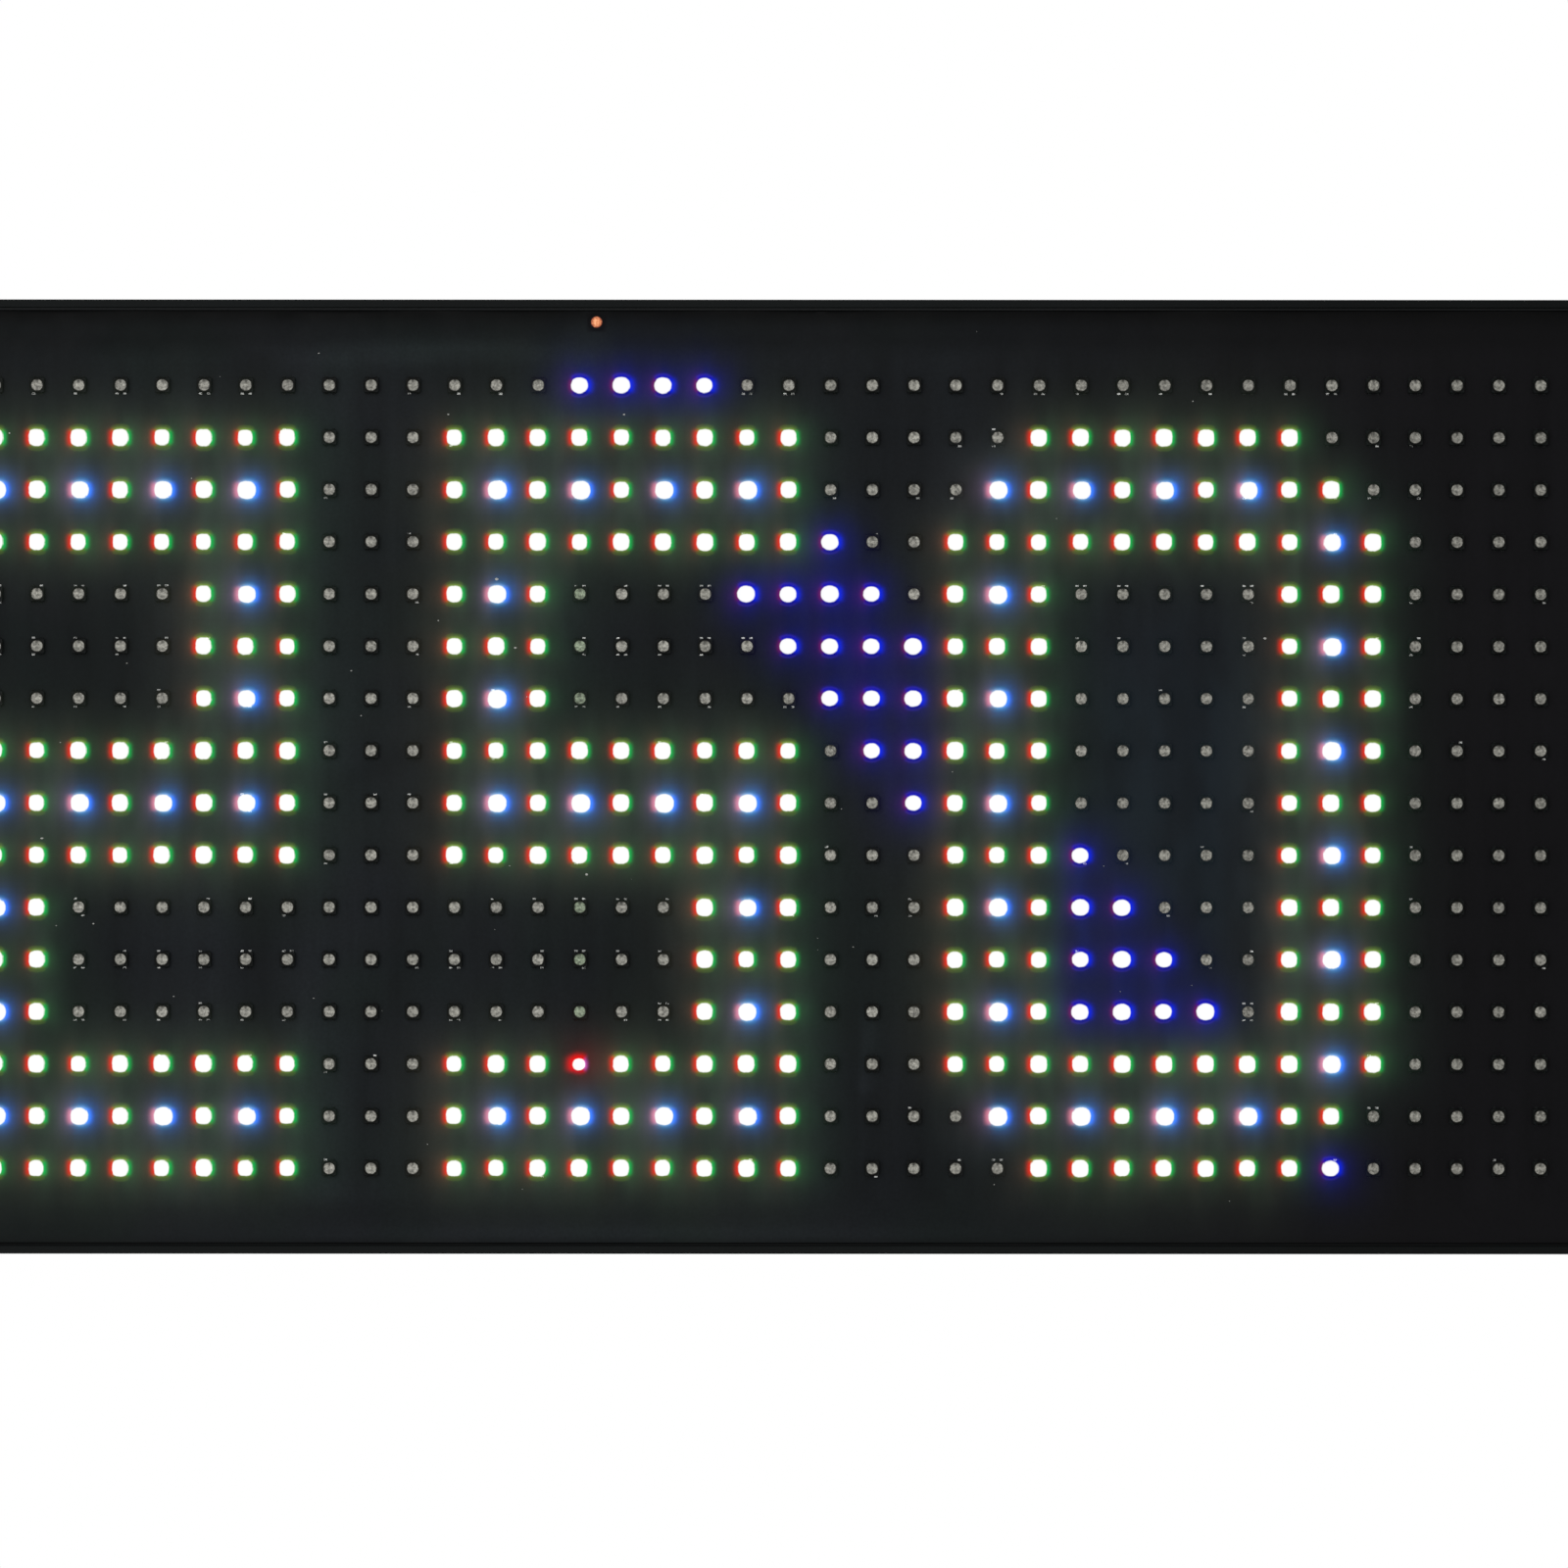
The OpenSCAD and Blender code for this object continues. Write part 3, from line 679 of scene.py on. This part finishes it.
def grid_lines():
    """Lines of the circuit's face: close together round the lamps of the message."""
    half_x, half_z = PITCH_X / 2, PITCH_Z / 2
    fine = (-half_x, -2.1, -1.5, -1.05, 0, 1.05, 1.5, 2.1)
    xs = {-CIRCUIT_W / 2, CIRCUIT_W / 2, PAD_X - PAD_CUT, PAD_X + PAD_CUT}
    for column in range(COLUMNS):
        for away in fine if column in FINE_COLUMNS else (-half_x, 0):
            xs.add(lamp_x(column) + away)
    xs.add(lamp_x(COLUMNS - 1) + half_x)
    zs = {-CIRCUIT_H / 2, CIRCUIT_H / 2, PAD_Z - PAD_CUT, PAD_Z + PAD_CUT}
    for row in range(1, ROWS + 1):
        for away in (-half_z, -2.7, -2.0, -1.5, -1.05, 0, 1.05, 1.5, 2.0, 2.7):
            zs.add(lamp_z(row) + away)
    zs.add(lamp_z(1) + half_z)
    zs |= {-CIRCUIT_H / 2 + away for away in (0.5, 1.0, 1.7, 2.5, 3.5, 4.5)}
    zs |= {CIRCUIT_H / 2 - away for away in (0.5, 1.0, 2.2, 3.5, 4.2, 5.0)}
    return [np.array(sorted(round(v, 4) for v in lines)) for lines in (xs, zs)]


def make_pad_ring(shape, grid_x, grid_z, dip):
    """Faces between the grid and the round, bare floor under the copper pad."""
    ring = []
    for i in range(PAD_SIDES):
        turn = 2 * math.pi * i / PAD_SIDES
        ring.append((PAD_X + PAD_RING_R * math.cos(turn), PAD_Z + PAD_RING_R * math.sin(turn)))
    corners = []
    for side_x, side_z in ((1, 1), (-1, 1), (-1, -1), (1, -1)):
        x, z = PAD_X + PAD_CUT * side_x, PAD_Z + PAD_CUT * side_z
        corners.append(int(np.argmin(abs(grid_x - x) + abs(grid_z - z))))
    first, quarter = len(shape.verts), PAD_SIDES // 4
    shape.verts += at_depth(ring, CIRCUIT_Y + dip)
    for i, corner in enumerate(corners):
        arc = [first + (i * quarter + j) % PAD_SIDES for j in range(quarter + 1)]
        shape.faces += [(corner, b, a) for a, b in zip(arc, arc[1:])]
        shape.faces.append((corner, corners[(i + 1) % 4], arc[-1]))
    top, floor = at_depth(ring, CIRCUIT_Y + dip), at_depth(ring, CIRCUIT_Y + PAD_T)
    shape.rings([top[::-1], floor[::-1]])
    shape.add(floor, [tuple(range(PAD_SIDES))])


def make_board():
    dip = 0.03  # how deep the waves of the face lie on average
    xs, zs = grid_lines()
    grid_x, grid_z = (g.ravel() for g in np.meshgrid(xs, zs))
    inner = (abs(grid_x) < CIRCUIT_W / 2 - 0.01) & (abs(grid_z) < CIRCUIT_H / 2 - 0.01)
    wave = np.sin(grid_x / 4.1 + 1.7 * np.sin(grid_z / 19)) * np.sin(grid_x / 17 + grid_z / 47)
    depth = CIRCUIT_Y + np.where(inner, dip * (1 + wave), 0)
    shape = Shape()
    shape.verts = [tuple(v) for v in np.stack([grid_x, depth, grid_z], 1)]
    mid_x, mid_z = (xs[1:] + xs[:-1]) / 2, (zs[1:] + zs[:-1]) / 2
    column = np.floor(mid_x / PITCH_X).astype(int) + COLUMNS // 2
    row = ROWS // 2 - np.floor(mid_z / PITCH_Z).astype(int)
    index = []
    for j, z in enumerate(mid_z):
        for i, x in enumerate(mid_x):
            if abs(x - PAD_X) < PAD_CUT and abs(z - PAD_Z) < PAD_CUT:
                continue
            a, b = j * len(xs) + i, (j + 1) * len(xs) + i
            shape.faces.append((a, a + 1, b + 1, b))
            index.append(STATE.get((column[i], row[j]), UNLIT))
    make_pad_ring(shape, grid_x, grid_z, dip)
    w, h = CIRCUIT_W / 2, CIRCUIT_H / 2
    edge = [(-w, -h), (w, -h), (w, h), (-w, h)]
    shape.rings([at_depth(edge, CIRCUIT_Y), at_depth(edge, FOAM_Y)], close_last=True)
    index += [UNLIT] * (len(shape.faces) - len(index))
    looks = [board_look(f"circuit_{name}", state) for name, state in NAMES]
    piece = make_piece("board_face", shape.verts, shape.faces, looks, index, 30)
    verts = np.array(shape.verts)
    paint(piece, "glow", wide_glow(verts))
    paint(piece, "shade", board_shade(verts))
    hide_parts("flex_circuit")


# Lamps


def housing_mesh():
    """One lamp's body round its centre: bevelled edges, a round cup, open where it is hidden."""
    bevel = 0.07
    shape = Shape()
    outer = rounded(LAMP_SIDE, LAMP_SIDE, 0.12, 1)
    shoulder = rounded(LAMP_SIDE - 2 * bevel, LAMP_SIDE - 2 * bevel, 0.08, 1)
    shape.rings(
        [
            at_depth(outer, CIRCUIT_Y + 0.07),
            at_depth(outer, LAMP_Y + bevel),
            at_depth(shoulder, LAMP_Y),
        ]
    )
    rim = circle(WINDOW_R, CUP_SIDES)
    first, corners = len(shape.verts), len(shoulder)
    shape.verts += at_depth(shoulder, LAMP_Y) + at_depth(rim, LAMP_Y)
    # Each point of the cup's rim meets the nearest point of the shoulder
    near = [min(range(corners), key=lambda i: math.dist(shoulder[i], p)) for p in rim]
    for i in range(CUP_SIDES):
        j = (i + 1) % CUP_SIDES
        corner, here, there = near[i], first + corners + i, first + corners + j
        shape.faces.append((first + corner, there, here))
        while corner != near[j]:
            following = (corner + 1) % corners
            shape.faces.append((first + corner, first + following, there))
            corner = following
    # The cup's wall is made only as deep as it shows above the resin
    shown = 0.3
    wall = circle(WINDOW_R - (WINDOW_R - CUP_R) * shown, CUP_SIDES)
    shape.rings([at_depth(rim, LAMP_Y), at_depth(wall, LAMP_Y + CUP_DEPTH * shown)])
    return shape


def window_mesh():
    """The resin in one cup: a slightly hollow top over the cup's cone."""
    shape = Shape()
    top = LAMP_Y + 0.02
    shape.rings(
        [
            at_depth(circle(CUP_R, CUP_SIDES), LAMP_Y + CUP_DEPTH),
            at_depth(circle(WINDOW_R - 0.01, CUP_SIDES), top),
            at_depth(circle(0.55, CUP_SIDES), top + 0.035),
        ],
        close_last=True,
    )
    return shape


def solder_mesh():
    """Two fillets above and two below one lamp."""
    shape = Shape()
    foot_half, top_half = 0.24, 0.19
    foot, middle, top = CIRCUIT_Y + 0.06, CIRCUIT_Y - 0.09, CIRCUIT_Y - 0.3
    for side_x, side_z in ((-1, -1), (-1, 1), (1, -1), (1, 1)):
        x = side_x * 0.52
        near, far = side_z * (LAMP_SIDE / 2 - 0.02), side_z * (LAMP_SIDE / 2 + 0.26)
        points = [
            (x - foot_half, foot, far),
            (x + foot_half, foot, far),
            (x + foot_half, foot, near),
            (x - foot_half, foot, near),
            (x + top_half, top, near),
            (x - top_half, top, near),
            (x + top_half, middle, (near + far) / 2),
            (x - top_half, middle, (near + far) / 2),
        ]
        faces = [(0, 1, 6, 7), (7, 6, 4, 5), (1, 2, 6), (2, 4, 6), (0, 7, 3), (3, 7, 5)]
        if side_z < 0:
            faces = [tuple(reversed(face)) for face in faces]
        shape.add(points, faces)
    return shape


def repeat(shape, lamps, index_of):
    """A copy of a small shape at each lamp, with a material index for each face."""
    one = np.array(shape.verts)
    n = len(one)
    place = np.array([(lamp_x(column), 0, lamp_z(row)) for column, row in lamps])
    verts = (place[:, None] + one[None]).reshape(-1, 3)
    faces = [tuple(n * k + i for i in face) for k in range(len(lamps)) for face in shape.faces]
    index = [index_of(*lamp) for lamp in lamps for _ in shape.faces]
    return verts, faces, index


def state_of(column, row):
    return STATE[column, row]


def make_lamps():
    looks = [housing_look(f"housing_{name}", state) for name, state in NAMES]
    body = housing_mesh()
    for row in range(1, ROWS + 1):
        lamps = [(column, row) for column in range(COLUMNS)]
        verts, faces, index = repeat(body, lamps, state_of)
        name = f"lamp_row_{row:02d}"
        piece = make_piece(name, verts, faces, looks, index, 35)
        paint(piece, "glow", wide_glow(verts))
        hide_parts(f"led_row_{row:02d}")
    window = window_mesh()
    ghost_look = ("ghost", (0.21, 0.255, 0.18))
    for state, node, slot, tints in (
        (UNLIT, "unlit_lenses", "lens_unlit", [("unlit", (0.265, 0.26, 0.23)), ghost_look]),
        (WARM, "warm_lenses", "lens_warm", [("warm", (0.3, 0.3, 0.26))]),
        (COOL, "cool_lenses", "lens_cool", [("cool", (0.3, 0.3, 0.28))]),
        (BLUE, "blue_lenses", "lens_blue", [("blue", (0.25, 0.25, 0.3))]),
        (RED, "red_lens", "lens_red", [("red", (0.3, 0.25, 0.25))]),
    ):
        lamps = [lamp for lamp, shown in STATE.items() if shown == state]
        verts, faces, index = repeat(window, lamps, ghost)
        looks = [window_look(f"window_{name}", state, tint) for name, tint in tints]
        name = node.replace("lens", "window")
        kinds = index if len(looks) > 1 else None
        piece = make_piece(name, verts, faces, looks, kinds, 50)
        paint(piece, "glow", wide_glow(verts))
        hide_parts(node)


def solder_look(name, state):
    look = Look(name, rough=0.35, ior=1.3)
    # Painted glints: where bare is set, spots of the joint get a light base colour
    speck = look.ramp(look.noise(0.25, None, 1.0), 0.38, 0.52)
    bare = look.calc("MULTIPLY", look.attribute("bare", "Fac"), speck)
    look.set("Base Color", look.mix(bare, (0.006, 0.007, 0.007), (0.75, 0.76, 0.74)))
    look.shine(state)
    return look.mat


def make_solder():
    """Joints at each lamp, coated dark; a few near lit lamps are bare, with painted glints."""
    lamps = list(STATE)
    joint = solder_mesh()
    looks = [solder_look(f"solder_{name}", state) for name, state in NAMES]
    verts, faces, index = repeat(joint, lamps, state_of)
    piece = make_piece("solder_joints", verts, faces, looks, index)
    white = [lamp for lamp, state in STATE.items() if state in (WARM, COOL)]
    lit_x = np.array([lamp_x(column) for column, _ in white])
    lit_z = np.array([lamp_z(row) for _, row in white])
    points_each = len(joint.verts) // 4
    # Painted glints: a joint is likelier to shine on the side that faces lit white lamps just
    # above or below
    painted_glints = []
    for column, row in lamps:
        away_x, away_z = abs(lit_x - lamp_x(column)), lit_z - lamp_z(row)
        for side in (-1, 1, -1, 1):
            facing = (side * away_z > 3) & (side * away_z < 15)
            chance = 0.6 if (facing & (away_x < 3)).any() else 0.15
            if STATE[column, row] != UNLIT or not (facing & (away_x < 9)).any():
                chance = 0.03
            level = rng.uniform(0.4, 1.0) if rng.random() < chance else 0.0
            painted_glints += [level] * points_each
    paint(piece, "bare", painted_glints)
    paint(piece, "glow", wide_glow(verts))


# Places of the specks that the photograph shows
SPECKS = [(-86.0, 15.2), (-55.9, 14.2), (-42.9, 48.6), (-19.3, 48.6), (-79.7, -29.5)]
SPECKS += [(-97.4, -8.3), (-24.3, -13.1), (-33.9, 17.3), (-36.4, 26.5), (57.0, 50.4)]
SPECKS += [(66.7, 18.6)]
MORE_SPECKS = 70  # smaller ones all over the circuit
SPECK_SIDES = 7


def make_dust():
    """Dust on the coating: the specks that the photograph shows, and a few more beyond it."""
    specks = [(x, z, rng.uniform(0.17, 0.25)) for x, z in SPECKS]
    for _ in range(MORE_SPECKS):
        specks.append((rng.uniform(-268, 268), rng.uniform(-60, 60), rng.uniform(0.07, 0.13)))
    shape = Shape()
    for x, z, size in specks:
        squash, start = rng.uniform(0.5, 0.9), rng.uniform(0, 3)
        ring = []
        for i in range(SPECK_SIDES):
            turn = 2 * math.pi * i / SPECK_SIDES + start
            across = size * math.cos(turn) * rng.uniform(0.8, 1.2)
            ring.append((x + across, CIRCUIT_Y + 0.05, z + size * squash * math.sin(turn)))
        top = (x + 0.02, CIRCUIT_Y - 0.05, z + 0.02)
        sides = [(i, (i + 1) % SPECK_SIDES, SPECK_SIDES) for i in range(SPECK_SIDES)]
        shape.add([*ring, top], sides)
    look = Look("dust", rough=0.8, ior=1.3)
    look.set("Base Color", look.mix(look.noise(0.1), (0.16, 0.16, 0.15), (0.6, 0.6, 0.57)))
    make_piece("dust_specks", shape.verts, shape.faces, [look.mat])


# Cover

LIP = 0.12  # bevel of the tray's edge
FOOT = 0.3  # rounding at the back edge and at the foot of each raised ring
ROUND = 0.16  # rounding of the rim's outer edge
CHAMFER = 0.2  # at both ends of a hanging hole


def sign_outline(inset):
    return rounded(SIGN_W - 2 * inset, SIGN_H - 2 * inset, CORNER_R - inset, 8)


def tray_outline(out):
    """Outline of the tray that holds the foam and the circuit, moved out by some millimetres."""
    w, h = TRAY_W / 2 + out, TRAY_H / 2 + out
    return [(-w, -h), (w, -h), (w, h), (-w, h)]


def cover_shape():
    """Rounded rim, tray and thickened rings round the hanging holes."""
    shape = Shape()
    rim = [(FOOT, 0), (0.09, -0.09), (0, -FOOT)]
    rim += [(0, RIM_Y + ROUND), (0.04, RIM_Y + 0.04), (ROUND, RIM_Y)]
    shape.rings([at_depth(sign_outline(inset), y) for inset, y in rim])
    eyes = [(x, z) for x in (-HOLE_X, HOLE_X) for z in (-HOLE_Z, HOLE_Z)]
    feet = [circle(EYE_R + FOOT, HOLE_SIDES, x, z) for x, z in eyes]
    shape.plate(sign_outline(ROUND), [tray_outline(LIP), *feet], RIM_Y)
    # The tray's wall has a ledge that nearly meets the circuit's edge
    wall = [(LIP, RIM_Y), (0, RIM_Y + LIP), (-0.05, CIRCUIT_Y), (-0.3, CIRCUIT_Y + 0.12)]
    wall += [(-0.3, CIRCUIT_Y + 0.3), (0, CIRCUIT_Y + 0.5), (0, SHEET_Y)]
    shape.rings([at_depth(tray_outline(out), y) for out, y in wall])
    left, right, half = RIBBON_SLOT
    slot = [(left, -half), (right, -half), (right, half), (left, half)]
    shape.plate(tray_outline(0), [slot], SHEET_Y)
    shape.rings([at_depth(slot, SHEET_Y), at_depth(slot, 0)])
    mouths = [circle(HOLE_R + CHAMFER, HOLE_SIDES, x, z) for x, z in eyes]
    shape.plate(sign_outline(FOOT), [slot, *mouths], 0, flip=True)
    eye = [(EYE_R + FOOT, RIM_Y), (EYE_R + 0.08, RIM_Y - 0.08)]
    eye += [(EYE_R, EYE_Y + 0.15), (EYE_R - 0.15, EYE_Y)]
    eye += [(HOLE_R + CHAMFER, EYE_Y), (HOLE_R, EYE_Y + CHAMFER)]
    eye += [(HOLE_R, -CHAMFER), (HOLE_R + CHAMFER, 0)]
    for x, z in eyes:
        shape.rings([at_depth(circle(radius, HOLE_SIDES, x, z), y) for radius, y in eye])
    return shape


def cover_look():
    look = Look("soft_cover", rough=0.5, ior=1.12)
    at = look.place()
    x, y, z = look.split(at)
    worn = look.ramp(look.noise(14.0, at, 3.0), 0.35, 0.65)
    grain = look.noise(0.35, at, 2.0)
    tone = look.mix(worn, (0.0046, 0.0054, 0.0054), (0.0062, 0.0074, 0.0076))
    tone = look.mix(look.ramp(grain, 0.62, 0.8, 0.0, 0.5), tone, (0.016, 0.017, 0.017))
    # Beside the circuit the wall catches light above and is nearly black below
    wall = look.ramp(y, RIM_Y + 0.2, CIRCUIT_Y - 0.02)
    wall = look.calc("MULTIPLY", wall, look.ramp(y, -2.0, -2.3))
    above = look.ramp(z, -1.0, 1.0)
    wall_tone = look.mix(above, (0.001, 0.0013, 0.0014), (0.014, 0.015, 0.0155))
    tone = look.mix(wall, tone, wall_tone)
    # Painted shade: darker to the right, as the panel is
    tone = look.vec("SCALE", tone, scale=look.ramp(x, DIM_FROM, DIM_TO, 1.0, 0.6))
    # The back has a fine cloth grain that the front doesn't show
    across = look.noise(0, at, 1.0, 0.5, (2.5, 9.0, 0.5))
    upright = look.noise(0, at, 1.0, 0.5, (0.5, 9.0, 2.5), 2.6)
    cloth = look.calc("MAXIMUM", across, upright)
    back_tone = look.mix(worn, (0.011, 0.0115, 0.012), (0.019, 0.0195, 0.020))
    back_tone = look.vec("SCALE", back_tone, scale=look.ramp(cloth, 0.4, 0.75, 0.65, 1.3))
    back = look.ramp(y, -0.35, -0.1)
    look.set("Base Color", look.mix(back, tone, back_tone))
    look.set("Roughness", look.ramp(worn, 0.0, 1.0, 0.5, 0.6, False))
    look.bump(look.mix(back, grain, cloth), 0.3, 0.1)
    return look.mat


def make_cover():
    shape = cover_shape()
    looks = [cover_look()]
    piece = make_piece("cover_shell", shape.verts, shape.faces, looks, None, 40)
    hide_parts("back_cover")


# Materials of the CAD nodes


def carry(look, *nodes):
    for name in nodes:
        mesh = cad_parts[name].data
        mesh.materials.clear()
        mesh.materials.append(look.mat)


def plastic(name, colour, rough, grain=0.3, depth=0.06):
    look = Look(name, colour, rough, 1.45)
    fine = look.noise(grain)
    dark = tuple(c * 0.82 for c in colour)
    look.set("Base Color", look.mix(look.noise(6.0), dark, colour))
    look.set("Roughness", look.ramp(fine, 0.3, 0.7, rough - 0.07, rough + 0.07, False))
    look.bump(fine, 0.3, depth)
    return look


def metal(name, colour, rough):
    look = Look(name, colour, rough, 1.5, 1.0)
    brushed = look.noise(0, None, 2.0, 0.6, (0.1, 3.0, 0.1))
    dark = tuple(c * 0.8 for c in colour)
    look.set("Base Color", look.mix(brushed, dark, colour))
    look.set("Roughness", look.ramp(brushed, 0.3, 0.7, rough - 0.08, rough + 0.1, False))
    return look


def copper():
    """Dull copper with a brighter, grainy middle and a dark edge."""
    look = Look("bare_copper", rough=0.4, ior=1.25, metallic=0.1)
    at = look.place()
    grain = look.ramp(look.noise(0.32, at, 2.0, 0.6), 0.35, 0.65)
    away = look.vec("DISTANCE", at, (PAD_X, CIRCUIT_Y, PAD_Z))
    away = look.calc("ADD", away, look.ramp(grain, 0.0, 1.0, 0.08, -0.08, False))
    tone = look.mix(grain, (0.60, 0.18, 0.06), (1.0, 0.44, 0.22))
    tone = look.mix(look.ramp(away, 0.15, 0.55, 0.0, 0.8), tone, (0.62, 0.20, 0.08))
    tone = look.mix(look.ramp(away, 0.5, 0.76), tone, (0.20, 0.04, 0.018))
    look.set("Base Color", tone)
    look.bump(grain, 0.3, 0.04)
    return look


def laminate(name, dark, light, detail, stretch):
    """A coated circuit board."""
    look = Look(name, rough=0.35)
    weave = look.noise(0, None, detail, 0.5, stretch)
    look.set("Base Color", look.mix(weave, dark, light))
    return look


def make_looks():
    carry(copper(), "copper_pad")
    carry(plastic("foam", (0.05, 0.053, 0.056), 0.85, 0.5, 0.2), "foam_backing")
    chip = plastic("chip_black", (0.022, 0.022, 0.024), 0.55, 0.15)
    carry(chip, "column_drivers", "row_drivers", "line_decoders", "microcontroller")
    carry(chip, "flash_memory", "voltage_regulator", "buffer_chips")
    ceramic = plastic("capacitor", (0.34, 0.23, 0.14), 0.5)
    carry(ceramic, "circuit_capacitors", "board_capacitors")
    box = plastic("box_plastic", (0.014, 0.014, 0.0155), 0.5, 0.35, 0.1)
    carry(box, "controller_base", "controller_lid")
    carry(metal("screw_steel", (0.42, 0.42, 0.43), 0.35), "controller_screws")
    green = (0.006, 0.075, 0.032), (0.012, 0.11, 0.05)
    carry(laminate("board_green", *green, 1.0, (0.6, 3.0, 4.0)), "controller_board")
    blue = (0.006, 0.014, 0.07), (0.01, 0.022, 0.1)
    carry(laminate("board_blue", *blue, 2.0, (0.8, 0.8, 0.8)), "radio_module")
    carry(plastic("ribbon", (0.5, 0.47, 0.4), 0.55, 0.6), "ribbon_cable")
    carry(plastic("tape", (0.025, 0.025, 0.027), 0.9, 0.25), "mounting_tape")
    carry(plastic("connector_plastic", (0.76, 0.72, 0.58), 0.5), "ribbon_connector")
    carry(plastic("tongue_plastic", (0.012, 0.012, 0.012), 0.45), "usb_tongue")
    shell = metal("plated_shell", (0.66, 0.66, 0.67), 0.28)
    carry(shell, "usb_shell", "crystal", "radio_shield")
    carry(metal("can_aluminium", (0.6, 0.6, 0.62), 0.35), "bulk_capacitors")
    carry(plastic("ferrite", (0.05, 0.05, 0.053), 0.6), "power_inductor")


# Stage, in metres

FLOOR_HALF, FLOOR_Z = 1.0, -0.3
FILL = 0.45  # strength of the world's light on the object, where the background shows as 1
LIGHTS = (("key", (-0.35, -1.1, 0.3), 8.2), ("rear", (0.6, 1.0, 0.5), 6.0))
LIGHT_SIZE = 1.0
CAMERA_AWAY = 1.2
VIEW_W = 0.2102  # width that the photograph shows
SENSOR = 36
CAMERA_X, CAMERA_Z, CAMERA_TURN = 0.00217, -0.00096, math.radians(-0.025)


def make_floor():
    a, z = FLOOR_HALF, FLOOR_Z
    mesh = bpy.data.meshes.new("floor")
    mesh.from_pydata([(-a, -a, z), (a, -a, z), (a, a, z), (-a, a, z)], [], [(0, 1, 2, 3)])
    look = Look("floor", (0.85, 0.85, 0.84), 0.8)
    look.set("Base Color", look.mix(look.noise(60.0), (0.83, 0.83, 0.82), (0.87, 0.87, 0.86)))
    mesh.materials.append(look.mat)
    floor = bpy.data.objects.new("floor", mesh)
    bpy.context.scene.collection.objects.link(floor)


def make_world():
    """A white background that the camera, gloss and glass see, and a weaker light on the rest."""
    world = bpy.data.worlds.new("studio")
    bpy.context.scene.world = world
    world.use_nodes = True
    tree = world.node_tree
    rays = tree.nodes.new("ShaderNodeLightPath").outputs
    seen = rays["Is Camera Ray"]
    for kind in ("Is Glossy Ray", "Is Transmission Ray"):
        either = tree.nodes.new("ShaderNodeMath")
        either.operation = "MAXIMUM"
        tree.links.new(seen, either.inputs[0])
        tree.links.new(rays[kind], either.inputs[1])
        seen = either.outputs[0]
    strength = tree.nodes.new("ShaderNodeMapRange")
    strength.inputs["To Min"].default_value = FILL
    tree.links.new(seen, strength.inputs[0])
    back = tree.nodes["Background"]
    back.inputs["Color"].default_value = (1, 1, 1, 1)
    tree.links.new(strength.outputs[0], back.inputs["Strength"])


def make_lights():
    for name, place, power in LIGHTS:
        light = bpy.data.lights.new(name, "AREA")
        light.energy, light.size = power, LIGHT_SIZE
        lamp = bpy.data.objects.new(name, light)
        lamp.location = place
        lamp.rotation_mode = "QUATERNION"
        lamp.rotation_quaternion = lamp.location.to_track_quat("Z", "Y")
        bpy.context.scene.collection.objects.link(lamp)


def make_camera():
    lens = bpy.data.cameras.new("camera")
    lens.sensor_width = SENSOR
    lens.lens = SENSOR * CAMERA_AWAY / VIEW_W
    lens.clip_end = 20
    camera = bpy.data.objects.new("camera", lens)
    camera.location = (CAMERA_X, LAMP_Y * MM - CAMERA_AWAY, CAMERA_Z)
    camera.rotation_euler = (math.radians(90), CAMERA_TURN, 0)
    bpy.context.scene.collection.objects.link(camera)
    bpy.context.scene.camera = camera
    bpy.context.scene.view_settings.view_transform = "Standard"


make_floor()
make_world()
make_lights()
make_camera()
make_board()
make_lamps()
make_solder()
make_dust()
make_cover()
make_looks()
